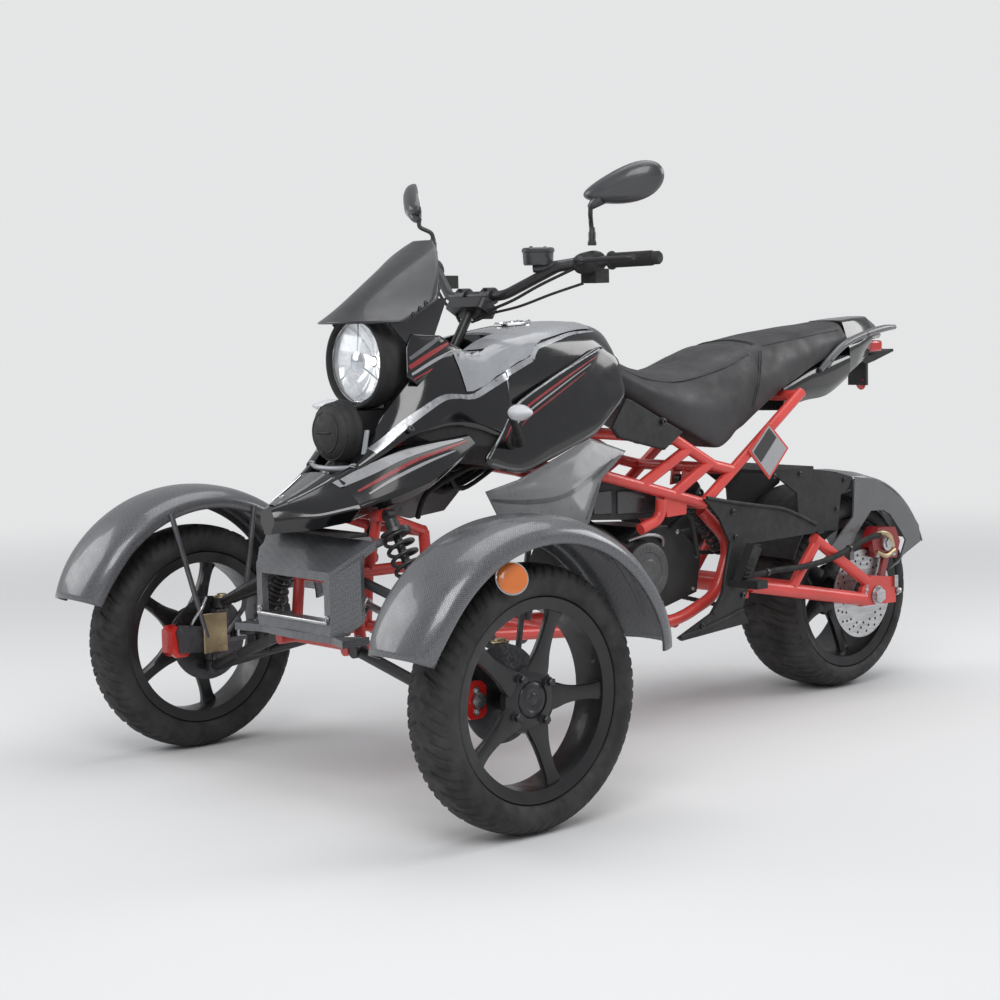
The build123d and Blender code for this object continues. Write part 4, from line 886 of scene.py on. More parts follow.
for side_name, way in SIDES:
    cheek = Shape()
    shield(cheek, [(-724, 846), (-716, 906), (-700, 935), (-622, 930), (-560, 896), (-566, 878),
                   (-640, 858),
                   (-700, 830)], 104, 880, 10, 5, 4, 4, True)
    cheek_obj = cheek.piece(f"lamp_cheek_{side_name}", BLACK_GLOSS, "chassis", angle=40, flip=way < 0)
    if way > 0:
        cheek_tree = surface_tree(cheek_obj)

# Nose

nose = Shape()
hull(nose, [
    (-1001, [(0, 592), (8, 591), (18, 585), (24, 570), (24, 562), (24, 562), (14, 548), (12, 540),
             (12, 540), (0, 538), (0, 538)]),
    (-970, [(0, 606), (20, 604), (36, 596), (54, 578), (56, 568), (56, 568), (36, 550), (30, 543),
            (30, 543), (0, 541), (0, 541)]),
    (-935, [(0, 622), (30, 619), (52, 609), (86, 582), (90, 573), (90, 573), (66, 554), (58, 546),
            (58, 546), (0, 544), (0, 544)]),
    (-900, [(0, 640), (40, 636), (64, 624), (112, 592), (118, 582), (118, 582), (88, 560), (80, 553),
            (80, 553), (0, 552), (0, 552)]),
    (-870, [(0, 657), (50, 652), (74, 640), (132, 602), (141, 591), (141, 591), (112, 566), (104, 560),
            (104, 560), (0, 560), (0, 560)]),
], 5, 3)
nose_obj = nose.piece("nose_beak", BLACK_GLOSS, "chassis", ("nose_panel",), angle=40)

blade_objs = []
for side_name, way in SIDES:
    blade = Shape()
    sections = [
        (-872, [(52, 650), (84, 636), (136, 600), (142, 590), (142, 590), (104, 562), (52, 596)]),
        (-835, [(66, 672), (98, 656), (150, 612), (156, 600), (156, 600), (124, 580), (60, 634)]),
        (-800, [(80, 692), (112, 672), (160, 622), (167, 609), (167, 609), (142, 594), (70, 664)]),
        (-762, [(98, 702), (130, 682), (168, 634), (176, 622), (176, 622), (154, 606), (86, 680)]),
        (-723, [(118, 709), (146, 690), (176, 648), (184, 636), (184, 636), (162, 622), (104, 694)]),
        (-665, [(140, 718), (160, 704), (182, 676), (188, 668), (188, 668), (168, 656), (126, 706)]),
        (-606, [(158, 725), (170, 720), (184, 710), (189, 704), (189, 704), (174, 696), (146, 712)]),
    ]
    rings = [[(x, y, z) for x, z in smooth_closed(half, 4)] for y, half in sections]
    blade.loft(smooth_rings(rings, 5))
    blade_objs.append(blade.piece(f"nose_blade_{side_name}", BLACK_GLOSS, "chassis", angle=40,
                                  flip=way < 0))

# Side panels and wings

# the panel's plane: its X and Z, and its lean in degrees
PANEL_PLANE = (163, 760, 7)
panel_objs = []
for side_name, way in SIDES:
    panel = Shape()
    shield(panel, [(-573, 664), (-528, 718), (-478, 778), (-415, 812), (-350, 840), (-280, 870),
                   (-216, 896),
                   (-188, 886), (-158, 866), (-152, 825), (-151, 784), (-205, 741), (-248, 708),
                   (-320, 682),
                   (-400, 656), (-479, 636)], *PANEL_PLANE, 10, 5, 4, False)
    panel_objs.append(panel.piece(f"side_panel_{side_name}", BLACK_GLOSS, "chassis",
                                  ("side_panels",) if way > 0 else (), angle=40, flip=way < 0))
    wing = Shape()
    shield(wing, [(-605, 607), (-556, 616), (-508, 625), (-390, 662), (-276, 699), (-176, 665), (-222, 638),
                  (-269, 611), (-304, 566), (-340, 521), (-440, 510), (-512, 528), (-585, 546)],
           212.8, 600, 19, 8, 6, 4, True)
    wing_obj = wing.piece(f"wing_{side_name}", GREY, "chassis", ("wing_panels",) if way > 0 else (),
                          angle=30, flip=way < 0)
    if way > 0:
        wing_tree = surface_tree(wing_obj)
    # Dark strips paint the shade of the wing's creases; the wing's surface itself has no crease.
    crease_shade = Shape()
    side_strip(crease_shade, wing_tree, [(-596, 590), (-500, 580), (-400, 585), (-300, 618), (-228, 652)],
               [5, 9, 9, 8, 3], 1.0)
    side_strip(crease_shade, wing_tree, [(-350, 532), (-318, 566), (-286, 604)], [4, 7, 4], 1.0)
    crease_shade.piece(f"wing_crease_{side_name}", DARK_BAND, "chassis", angle=40, flip=way < 0)

# Stripes, trim and painted highlights on the left, mirrored to the right

left_body = surface_tree(tank_obj, cowl_objs[0], nose_obj, blade_objs[0], panel_objs[0])
silver = Shape()
red = Shape()
pale = Shape()
grey = Shape()
# columns: what the strip belongs to, what it is laid on, its route in Y and Z, its widths
for shape, tree, route, widths in (
    (silver, left_body, [(-832, 678), (-786, 712), (-742, 748), (-694, 780), (-652, 802), (-618, 804)],
     [9, 13, 15, 14, 12, 9]),
    (silver, left_body, [(-618, 804), (-585, 803), (-540, 822), (-470, 852), (-410, 876)],
     [9, 11, 14, 14, 12]),
    (silver, left_body, [(-410, 876), (-402, 890), (-392, 900)], [12, 13, 12]),
    (silver, left_body, [(-392, 900), (-330, 915), (-270, 927), (-190, 930)], [10, 8, 6, 3]),
    # The red and pale bands on the nose blade are painted highlights on the glossy black.
    (red, left_body, [(-860, 622), (-800, 650), (-730, 680), (-660, 700), (-618, 712)], [3, 6, 6, 5, 2]),
    (pale, left_body, [(-880, 634), (-820, 662), (-750, 690), (-680, 706), (-622, 716)],
     [10, 16, 14, 9, 3]),
    (pale, left_body, [(-846, 617), (-790, 644), (-720, 672), (-650, 694)], [2, 5, 5, 2]),
    # The silver, red and pale lines along the side panel's upper edge are painted highlights.
    (silver, left_body, [(-566, 672), (-522, 724), (-474, 779), (-350, 838), (-216, 892)], [3, 3, 3, 3, 2]),
    (red, left_body, [(-520, 706), (-470, 762), (-350, 822), (-230, 876)], [3, 5, 5, 2]),
    (pale, left_body, [(-500, 718), (-462, 756), (-350, 813), (-250, 860)], [2, 4, 3, 1.5]),
    (red, left_body, [(-470, 736), (-440, 757), (-350, 802), (-270, 842)], [1.5, 3, 3, 1.5]),
    (grey, left_body, [(-560, 662), (-480, 645), (-400, 665), (-250, 716), (-160, 786)], [4, 6, 7, 6, 3]),
    (red, cheek_tree, [(-716, 866), (-660, 892), (-604, 914)], [9, 10, 6]),
    (pale, cheek_tree, [(-712, 852), (-652, 878), (-590, 900)], [5, 7, 4]),
    (red, cheek_tree, [(-708, 842), (-645, 866), (-575, 888)], [3, 4, 2]),
    (grey, cheek_tree, [(-712, 884), (-664, 908), (-624, 926)], [7, 9, 5]),
):
    side_strip(shape, tree, route, widths)
for shape, name, material in ((silver, "trim_and_edge_highlight_silver", SILVER), (red, "stripe_and_highlight_red", RED_STRIPE_AND_HIGHLIGHT),
                              (pale, "stripe_and_highlight_pale", PALE_PAINT), (grey, "trim_grey", GREY)):
    shape.mirror()
    shape.piece(name, material, "chassis", angle=60)

# Silver shoulders of the tank, from the zigzag up to the top

shoulder_tree = surface_tree(tank_obj, *cowl_objs)
ZIGZAG = [(-600, 812), (-585, 812), (-540, 830), (-470, 860), (-412, 882), (-392, 906), (-330, 921),
          (-270, 932),
          (-200, 936)]
shoulder = Shape()
rows = []
for y, low in smooth_rows(ZIGZAG, 3):
    hits = []
    for number in range(60):
        angle = radians(4 + 1.45 * number)
        way = Vector((cos(angle), 0, sin(angle)))
        found = drop(shoulder_tree, Vector((0, y, 790)) + way * 320, -way, 2.6)
        if found and found[0].z > low and found[0].x > 60:
            hits.append(found[0])
    if len(hits) > 3:
        row = []
        for number in range(14):
            place = number * (len(hits) - 1) / 13
            before = min(int(place), len(hits) - 2)
            row.append(hits[before].lerp(hits[before + 1], place - before))
        rows.append(row)
shoulder.grid(rows)
shoulder.mirror()
shoulder.piece("tank_shoulders", SILVER_PAINT, "chassis", angle=60)

# Tank top, its lid, and a box cut out of the tank ahead of the top

top_tree = surface_tree(tank_obj)
top = Shape()
rows = []
for y, wide in ((-440, 86), (-410, 87), (-380, 84), (-300, 78), (-230, 70), (-180, 56)):
    row = []
    for share in (-1, -0.8, -0.5, -0.2, 0.2, 0.5, 0.8, 1):
        found = drop(top_tree, (wide * share, y, 1200), (0, 0, -1), 1.6)
        row.append(tuple(found[0]))
    rows.append(row)
top.grid([smooth_rows(row, 2) for row in smooth_rings(rows, 3)])
top_obj = top.piece("tank_top", SILVER_PAINT, "chassis", angle=60)
cut_box(tank_obj, (-56, -640, 700), (56, -449, 1000))
thicken(top_obj, 0.0018, -1)
lid = Shape()
lid.lathe([(0, 0), (0, 42), (4, 42), (6, 39), (6, 34), (3, 33), (3, 18), (7, 16), (8, 10), (8, 0)],
          (0, -330, 949), (0, -0.07, 1), 48, False)
for number in range(6):
    angle = radians(60 * number)
    lid.bolt((37 * cos(angle), -330 + 37 * sin(angle), 955 + 2.6 * sin(angle)), (0, 0, 1), 2.4)
lid.piece("tank_lid", CHROME, "chassis")

# Screen

screen = Shape()
rows = []
for z, wide, flank, middle in smooth_rows([(958, 138, -752, -824), (975, 138, -712, -800),
                                           (1002, 131, -658, -767),
                                           (1045, 112, -632, -706), (1085, 88, -612, -646),
                                           (1112, 58, -592, -606),
                                           (1128, 30, -580, -585)], 4):
    row = []
    for number in range(33):
        share = -1 + number / 16
        row.append((wide * share, middle + (flank - middle) * abs(share) ** 2.1, z))
    rows.append(row)
screen.grid(rows)
screen_obj = screen.piece("screen", SCREEN, "chassis", ("windscreen",), angle=60)
thicken(screen_obj, 0.004, 1)
screen_trim = Shape()
for way in (-1, 1):
    for y, z in ((-724, 974), (-706, 986), (-690, 997)):
        screen_trim.bolt((way * 139, y, z), (way, 0, 0), 4.5)
    screen_trim.pipe([(way * 136, -742, 960), (way * 136, -700, 986), (way * 132, -655, 1006),
                      (way * 118, -634, 1040)], 2.2, 8, 4)
screen_trim.piece("screen_fixings", DARK_STEEL, "chassis")

# Lamps

LAMP = (0, -763, 879)
SNOUT = (0, -800, 737)
lamp = Shape()
lamp.lathe([(-22, 0), (-21, 22), (-18, 44), (-12, 66), (-3, 84), (2, 85.5), (9, 85.5), (9, 82), (1, 80),
            (-8, 62), (-14, 40), (-17, 20), (-18, 0)], LAMP, (0, 1, 0), 96, False)
lamp.piece("lamp_front", GLASS, "chassis", ("headlamp_lens",))
bowl = Shape()
rows = []
for number in range(97):
    angle = 2 * pi * number / 96
    ripple = 1.6 * sin(12 * angle)
    row = []
    for depth, radius in ((10, 84), (16, 80), (26, 70), (35, 56), (41, 40), (44, 24), (45, 12)):
        row.append((radius * cos(angle), LAMP[1] + depth + ripple * (radius / 84),
                    LAMP[2] + radius * sin(angle)))
    rows.append(row)
bowl.grid(rows)
bowl.piece("lamp_bowl", REFLECTOR, "chassis", angle=80)
bulb = Shape()
bulb.lathe([(2, 0), (4, 8), (12, 14), (24, 15), (34, 10), (44, 9)], LAMP, (0, 1, 0), 32, False)
bulb.piece("lamp_bulb", BULB, "chassis")
shade = Shape()
shade.lathe([(-4, 0), (-3, 16), (0, 22), (6, 22)], LAMP, (0, 1, 0), 32, False)
for angle in (90, 210, 330):
    out = Vector((cos(radians(angle)), 0, sin(radians(angle))))
    shade.pipe([Vector((0, LAMP[1] + 2, LAMP[2])) + out * 20, Vector((0, LAMP[1] + 7, LAMP[2])) + out * 78],
               2, 8, 1)
shade.piece("lamp_shade", CHROME, "chassis")
ring = Shape()
ring.lathe([(-9, 88), (-12, 92), (-11, 96), (-5, 99), (4, 99.5), (8, 98.3), (0, 97.8), (-5, 91), (-6, 88)],
           LAMP, (0, 1, 0), 96)
ring.lathe([(28, 93.5), (31, 96.5), (36, 96.5), (39, 92.5), (34, 89)], LAMP, (0, 1, 0), 96)
ring.lathe([(-7, 85.2), (-8.6, 86.6), (-7, 88), (-4, 88.2), (-4, 85)], LAMP, (0, 1, 0), 96)
ring.piece("lamp_ring", PLASTIC, "chassis")

dome = Shape()
dome.lathe([(-58, 0), (-57.6, 14), (-56, 28), (-52.5, 40), (-46.5, 50), (-38, 57.5), (-29, 61.5), (-20, 63),
            (-12, 63.4), (-9, 66), (-4, 66), (0, 63), (0, 0)], SNOUT, (0, 1, 0), 80, False)
for start, end, radius, depth in ((100, 260, 42, -51.5), (-78, 78, 42, -51.5), (0, 360, 58, -38)):
    points = []
    for number in range(19):
        angle = radians(start + (end - start) * number / 18)
        points.append((radius * cos(angle), SNOUT[1] + depth, SNOUT[2] + radius * sin(angle)))
    dome.pipe(points, 2.2, 8, 1)
dome.pipe([(-24, -856.6, 737), (0, -858.4, 737), (24, -856.6, 737)], 2.6, 8, 3)
dome.piece("snout_dome", PLASTIC, "chassis", ("snout_cover",), angle=50)

brow = Shape()
brow.pipe([(-80, -832, 668), (-40, -846, 664), (0, -850, 663), (40, -846, 664), (80, -832, 668)],
          [5, 6, 6, 6, 5], 10, 5)
for way in (-1, 1):
    brow.prism([(way * 74, -818, 690), (way * 84, -816, 690), (way * 84, -806, 742), (way * 76, -808, 742)],
               (0, 6, 0))
brow.piece("snout_bar", SILVER_PAINT, "chassis", bevel=1.5)

# Nose trim: the raised middle band, its bolt and the slots beside it

spine = Shape()
nose_tree = surface_tree(nose_obj)
rows = []
for y, wide in ((-990, 9), (-960, 17), (-925, 22), (-890, 26), (-874, 27)):
    row = []
    for share in (-1, -0.85, -0.4, 0, 0.4, 0.85, 1):
        found = drop(nose_tree, (wide * share, y, 900), (0, 0, -1), 0.2 if abs(share) == 1 else 2.4)
        row.append(tuple(found[0]))
    rows.append(row)
spine.grid(smooth_rings(rows, 4))
spine.piece("nose_spine", GREY, "chassis", angle=40)
nose_trim = Shape()
found = drop(nose_tree, (0, -962, 900), (0, 0, -1), 2.5)
nose_trim.bolt(found[0], found[1], 5)
for way in (-1, 1):
    route = []
    for y, x in ((-968, 26), (-930, 38), (-892, 50), (-876, 54)):
        found = drop(nose_tree, (way * x, y, 900), (0, 0, -1), 0.8)
        route.append(tuple(found[0]))
    nose_trim.pipe(route, 2.0, 8, 4)
nose_trim.piece("nose_trim", CHROME, "chassis")


# Seat

def seat_piece():
    """Rider and passenger cushions in one crowned cover that pulls in at the seam between them."""
    # columns: Y, top height, half width of the crown, widest half width, bottom height
    stations = [
        (-124, 878, 40, 84, 806), (-112, 884, 50, 92, 800), (-66, 866, 62, 108, 772),
        (-20, 847, 72, 122, 745),
        (36, 836, 82, 132, 716), (95, 834, 88, 138, 690), (150, 840, 92, 141, 664),
        (196, 851, 94, 142, 650),
        (262, 872, 97, 141, 686), (318, 889, 97, 138, 718), (338, 889, 95, 136, 728),
        (356, 894, 96, 135, 738),
        (430, 908, 92, 130, 775), (500, 917, 87, 121, 800), (580, 926, 80, 108, 828),
        (660, 934, 70, 94, 848),
        (722, 939, 60, 80, 860), (740, 934, 52, 72, 866),
    ]
    rows = []
    for y, top, crown, flank, base in stations:
        tall = top - base
        rows.append((y, [(0, top), (crown * 0.6, top - 2), (crown, top - 10),
                         (crown + (flank - crown) * 0.55, top - 26),
                         (flank, base + tall * 0.5), (flank + 1, base + tall * 0.24), (flank - 5, base + 6),
                         (flank - 16, base), (flank - 16, base), (0, base + 2), (0, base + 2)]))
    shape = Shape()
    hull(shape, rows, 5, 4)
    tucks = ((330, 9.0, 4.5), (96, 30.0, 0.8))
    for i, v in enumerate(shape.verts):
        if v.z < 700 and abs(v.x) < 100:
            continue
        wave = 0.9 * sin(v.y / 31 + v.z / 19) * cos(v.z / 27 - v.y / 53)
        pull = -sum(depth * 2.718 ** (-((v.y - place - (v.z - 850) * 0.45) / reach) ** 2)
                    for place, reach, depth in tucks)
        out = Vector((v.x / 120, 0, (v.z - 790) / 90))
        if out.length > 0.2:
            shape.verts[i] = v + out.normalized() * (wave + pull)
    cushion = shape.piece("seat_cushion", LEATHER, "chassis", ("seat",), angle=70)
    smooth = cushion.modifiers.new("smooth", "SUBSURF")
    smooth.levels = 1
    smooth.render_levels = 1
    return cushion


seat_obj = seat_piece()
seat_tree = surface_tree(seat_obj)


def laid_pipe(shape, tree, starts, way, radius, lift):
    """A thin bead laid on a surface through the places below a row of points."""
    points = []
    for start in starts:
        found = drop(tree, start, way, lift)
        if found:
            points.append(tuple(found[0]))
    if len(points) > 2:
        shape.pipe(points, radius, 6, 3)


welt = Shape()
for offset in (0, 7):
    points = []
    for share in range(-8, 9):
        points.append((share * 11.5, 372 + offset - abs(share) * 1.6, 1200))
    laid_pipe(welt, seat_tree, points, (0, 0, -1), 1.3, 0.4)
    for way in (-1, 1):
        side = [(way * 400, 358 + offset - (876 - z) * 0.42, z) for z in (872, 850, 820, 790, 760, 742)]
        laid_pipe(welt, seat_tree, side, (-way, 0, 0), 1.3, 0.4)
for way in (-1, 1):
    edge = [(way * 400, y, z) for y, z in ((-100, 856), (-30, 822), (60, 808), (160, 820), (250, 842),
                                           (320, 866))]
    laid_pipe(welt, seat_tree, edge, (-way, 0, 0), 1.3, 0.4)
    edge = [(way * 400, y, z) for y, z in ((380, 884), (450, 892), (540, 901), (630, 910), (710, 916))]
    laid_pipe(welt, seat_tree, edge, (-way, 0, 0), 1.3, 0.4)
welt.piece("seat_seams", SEAM, "chassis")
stitches = Shape()
for way in (-1, 1):
    for k in range(58):
        share = k / 57
        y = -96 + share * 410
        z = 851 - 46 * sin(pi * min(share * 1.15, 1)) + 10 * share
        found = drop(seat_tree, (way * 400, y, z), (-way, 0, 0), 0.5)
        if found:
            middle = found[0]
            stitches.pipe([middle - Vector((0, 1.9, 0)), middle + Vector((0, 1.9, 0))], 0.55, 5, 1)
stitches.piece("seat_stitches", GREY, "chassis")


# Tail

tail = Shape()
hull(tail, [
    (470, [(0, 788), (70, 787), (90, 782), (96, 770), (94, 740), (84, 724), (84, 724), (0, 722), (0, 722)]),
    (560, [(0, 822), (70, 821), (90, 816), (97, 800), (94, 764), (84, 744), (84, 744), (0, 742), (0, 742)]),
    (652, [(0, 842), (64, 841), (84, 836), (91, 818), (88, 776), (78, 754), (78, 754), (0, 752), (0, 752)]),
    (744, [(0, 862), (56, 861), (74, 856), (81, 842), (78, 808), (68, 792), (68, 792), (0, 790), (0, 790)]),
], 5, 3)
tail.loft([[(x, y, z) for x, z in smooth_closed(half + [(-x, z) for x, z in reversed(half) if x], 3)] for y,
           half in [
    (743, [(0, 941), (40, 940), (56, 934), (74, 884), (81, 856), (68, 800), (60, 792), (60, 792), (0, 790),
           (0, 790)]),
    (790, [(0, 946), (38, 945), (52, 938), (68, 892), (73, 868), (60, 820), (52, 812), (52, 812), (0, 811),
           (0, 811)]),
    (858, [(0, 950), (32, 949), (44, 942), (56, 908), (60, 890), (50, 852), (44, 846), (44, 846), (0, 845),
           (0, 845)]),
    (867, [(0, 946), (30, 945), (42, 938), (54, 906), (57, 896), (52, 890), (47, 888), (47, 888), (0, 888),
           (0, 888)]),
    (905, [(0, 930), (24, 929), (34, 924), (42, 906), (44, 900), (40, 893), (36, 890), (36, 890), (0, 889),
           (0, 889)]),
    (931, [(0, 914), (16, 913), (24, 910), (30, 903), (32, 900), (28, 893), (24, 890), (24, 890), (0, 889),
           (0, 889)]),
]])
tail.piece("tail_body", BLACK_GLOSS, "chassis", ("tail_cowl",), angle=42)
rails = Shape()
for way in (-1, 1):
    rails.pipe([(way * 97, 606, 818), (way * 101, 640, 846), (way * 103, 700, 882), (way * 103, 780, 905),
                (way * 103, 850, 917), (way * 101, 900, 920)], [7, 9, 9, 9, 9, 6], 14, 6)
    rails.pipe([(way * 50, 880, 914), (way * 76, 881, 917), (way * 99, 882, 919)], 6, 12, 3)
    rails.pipe([(way * 90, 642, 826), (way * 96, 644, 834), (way * 101, 650, 852)], 6, 12, 3)
    rails.bolt((way * 108, 640, 842), (way, 0, 0), 4.5)
    rails.bolt((way * 110, 780, 904), (way, 0, 0), 4.5)
rails.piece("rails", GREY, "chassis", ("grab_rails",))
lens = Shape()
lens.box((-45, 868.5, 857), (45, 923, 886))
lens.piece("tail_lens", RED_LENS, "chassis", ("tail_lamp",), bevel=6)
ribs = Shape()
for number in range(9):
    x = -36 + number * 9
    ribs.box((x - 0.8, 921, 861), (x + 0.8, 925, 882))
ribs.piece("tail_lens_ribs", RED_LENS, "chassis", bevel=0.3)
OVAL = (10, 876, 780)
oval = Shape()
oval.lathe([(-1.5, 0), (-1.5, 11), (0, 12.5), (2.4, 11.6), (3.4, 8), (3.8, 0)], OVAL, (0, -1, 0), 40, False)
for i, v in enumerate(oval.verts):
    oval.verts[i] = Vector((OVAL[0] + (v.x - OVAL[0]) * 1.4, v.y, OVAL[2] + (v.z - OVAL[2]) * 1.8))
oval.piece("tail_reflector", RED_LENS, "chassis")


# Front fenders' trim

RIDGE_HALF = 15
RIDGE_HEIGHT = 1.6
for side_name, way in SIDES:
    ridge = Shape()
    rows = []
    for i in range(60):
        angle = radians(20 + 133 * i / 59)
        thin = sin(pi * i / 59) ** 0.4
        row = []
        for share, height in ((-1, 0.2), (-0.8, RIDGE_HEIGHT), (-0.2, RIDGE_HEIGHT + 0.8),
                              (0.2, RIDGE_HEIGHT + 0.8), (0.8, RIDGE_HEIGHT), (1, 0.2)):
            offset = share * RIDGE_HALF * thin
            reach = 343.3 + height * thin - 0.006 * offset * offset
            row.append(round_axle(FRONT_HUB, offset, reach, angle))
        rows.append(row)
    ridge.grid(rows)
    ridge.piece(f"fender_ridge_{side_name}", DARK_BAND, f"knuckle_{side_name}", angle=60, flip=way < 0)
    lip = Shape()
    for offset in (-FENDER_HALF, FENDER_HALF):
        points = []
        for i in range(49):
            share = i / 48
            angle = radians(FENDER_START + FENDER_SWEEP * share)
            narrow = fender_taper(share)
            points.append(round_axle(FRONT_HUB, offset * narrow, FENDER_EDGE, angle))
        lip.pipe(points, 2.4, 8, 1)
    for degrees in (22, 98, 140):
        lip.bolt(round_axle(FRONT_HUB, -90, 308, radians(degrees)), (-1, 0, 0), 5)
    lip.piece(f"fender_lip_{side_name}", DARK_BAND, f"knuckle_{side_name}", flip=way < 0)
    eye = Shape()
    out = Vector((0.86, -0.42, 0.30)).normalized()
    base = Vector((649, -921, 497)) - out * 4
    eye.lathe([(0, 0), (0, 31), (3, 31), (3, 28)], base, out, 48, False)
    eye.piece(f"reflector_rim_{side_name}", CHROME, f"knuckle_{side_name}", flip=way < 0)
    face = Shape()
    face.lathe([(2, 0), (2, 28.5), (6.2, 28.2), (8, 25), (8.6, 12), (8.8, 0)], base, out, 48, False)
    face.piece(f"reflector_{side_name}", AMBER, f"knuckle_{side_name}", flip=way < 0)


# Turn signals

for side_name, way in SIDES:
    root = Vector((290, -590, 772))
    out = Vector((0.95, -0.28, 0.03)).normalized()
    stalk = Shape()
    lean = radians(PANEL_PLANE[2])
    normal = Vector((cos(lean), 0, sin(lean)))
    foot = Vector((PANEL_PLANE[0], -505, PANEL_PLANE[1])) + normal * 14.6 + Vector((-sin(lean), 0,
                                                                                    cos(lean))) * -60
    stalk.lathe([(0, 0), (0, 14), (6, 14), (9, 11), (12, 9), (12, 0)], foot, normal, 24, False)
    stalk.pipe([foot + normal * 10, foot + normal * 30, root - out * 16, root + out * 2], [9, 8, 8, 12], 14,
               5)
    for number in range(5):
        stalk.lathe([(0, 8.2), (2, 10), (4, 8.2)],
                    foot + normal * 12 + (root - foot).normalized() * (14 + number * 7),
                    (root - foot).normalized(), 16)
    stalk.piece(f"signal_stalk_{side_name}", RUBBER, "chassis", ("turn_signals",) if way > 0 else (),
                flip=way < 0)
    glass = Shape()
    side = out.cross(Vector((0, 0, 1))).normalized()
    high = side.cross(out)
    rings = []
    for depth, wide, tall in ((0, 12, 10), (6, 17, 14), (20, 21, 17), (38, 20, 16), (58, 14, 11),
                              (74, 8, 6.5), (82, 3, 3)):
        ring = []
        for k in range(24):
            angle = 2 * pi * k / 24
            ring.append(root + out * depth + side * wide * cos(angle) + high * tall * sin(angle))
        rings.append(ring)
    glass.loft(smooth_rings(rings, 3))
    glass.piece(f"signal_lens_{side_name}", SIGNAL_LENS, "chassis", angle=70, flip=way < 0)
    band = Shape()
    band.lathe([(0, 13), (1, 16.5), (5, 18), (7, 17)], root - out * 1, out, 24)
    band.piece(f"signal_band_{side_name}", PLASTIC, "chassis", flip=way < 0)


# Mirrors

MIRROR = Vector((344, -318, 1232))
for side_name, way in SIDES:
    flat = Vector((0.74, 0.62, 0.36)).normalized()
    back = Vector((-0.6, 0.79, 0.1)).normalized()
    flat = (flat - back * flat.dot(back)).normalized()
    tall = back.cross(flat)
    if tall.z < 0:
        tall = -tall
    outline = []
    for k in range(40):
        angle = 2 * pi * k / 40
        x = 87 * cos(angle)
        z = 50 * sin(angle) * (1 - 0.5 * (1 - cos(angle)) / 2)
        outline.append((x, z - 6 * cos(angle) * (1 - cos(angle))))
    shell = Shape()
    rings = []
    for depth, share, shift in ((7, 0.97, 0), (3, 1, 0), (-2, 1, 0), (-12, 0.93, 0), (-20, 0.78, -3),
                                (-26, 0.55, -6),
                                (-28.5, 0.3, -8)):
        rings.append([MIRROR + flat * (x * share + shift) + tall * (z * share) + back * depth for x,
                      z in outline])
    shell.loft(smooth_rings(rings, 3))
    neck = MIRROR - flat * 82 - tall * 14
    shell.pipe([MIRROR - flat * 52 - tall * 6 - back * 10, MIRROR - flat * 70 - tall * 10 - back * 8, neck],
               [14, 11, 7.5], 16, 5)
    shell.piece(f"mirror_shell_{side_name}", SHELL_GREY, "steering", ("mirrors",) if way > 0 else (),
                angle=50,
                flip=way < 0)
    pane = Shape()
    rings = [[MIRROR + flat * x * share + tall * z * share + back * depth for x, z in outline]
             for depth, share in ((6.5, 0.93), (7.6, 0.92), (7.6, 0.4), (7.6, 0.05))]
    pane.loft(rings)
    pane.piece(f"mirror_pane_{side_name}", CHROME, "steering", angle=30, flip=way < 0)
    stem = Shape()
    foot = Vector((262.7, -335.3, 1113.0))
    stem.pipe([foot, foot + Vector((0, 0, 24)), foot + Vector((2, -4, 48)), neck - flat * 6 - tall * 14,
               neck],
              5, 12, 6)
    stem.lathe([(0, 0), (0, 9), (5, 9.5), (12, 7.5), (26, 8), (30, 6.5), (38, 6)],
               foot + Vector((0, 0, -1)),
               (0.03, 0, 1), 18, False)
    stem.piece(f"mirror_stem_{side_name}", BLACK_SATIN, "steering", flip=way < 0)


# Controls on the bar

INNER = Vector((283, -315.8, 1079.5))
OUTER = Vector((398, -288.8, 1081.5))
KNEE = Vector((200, -374.8, 1069.5))
ALONG = (OUTER - INNER).normalized()
SLOPE = (INNER - KNEE).normalized()
grips = Shape()
profile = [(0, 11.6), (0, 19), (4, 20), (7, 19), (8, 15.8)]
for k in range(26):
    start = 9 + k * 3.6
    profile += [(start, 15.2), (start + 0.8, 16), (start + 2.6, 16), (start + 3.4, 15.2)]
profile += [(103, 15.6), (106, 11.6)]
grips.lathe(profile, INNER + ALONG * 12, ALONG, 28)
grips.lathe([(0, 0), (0, 11), (3, 14), (14, 14), (18, 11), (18, 0)], OUTER - ALONG * 2, ALONG, 24, False)
grips.mirror()
grips.piece("grips", RUBBER, "steering")
boxes = Shape()
boxes.loft(smooth_rings([[INNER + SLOPE * d + Vector((0, w * cos(a), h * sin(a))) for a in
                          [2 * pi * k / 20 for k in range(20)]]
                         for d, w, h in ((-58, 18, 18), (-52, 23, 22), (-30, 24, 25), (-16, 22, 22),
                                         (-10, 17, 17))], 3))
boxes.box((INNER.x - 58, INNER.y - 18, INNER.z - 46), (INNER.x - 12, INNER.y + 22, INNER.z - 16))
boxes.mirror()
boxes.piece("switch_boxes", PLASTIC, "steering", ("bar_controls",), angle=40, bevel=3)
levers = Shape()
root = INNER - SLOPE * 34 + Vector((0, -30, 4))
levers.pipe([root + Vector((-16, 8, 2)), root + Vector((10, -6, 0)), root + Vector((30, -14, 0)),
             root + ALONG * 80 + Vector((0, -19, 0)), root + ALONG * 128 + Vector((0, -16, 0)),
             root + ALONG * 150 + Vector((0, -20, 0))], [9, 8, 5.4, 4.6, 4.8, 6.2], 12, 5)
levers.lathe([(-8, 0), (-8, 8), (8, 8), (10, 6), (10, 0)], root, (0, 0, 1), 18, False)
levers.mirror()
levers.piece("levers", BLACK_SATIN, "steering")
pot = Shape()
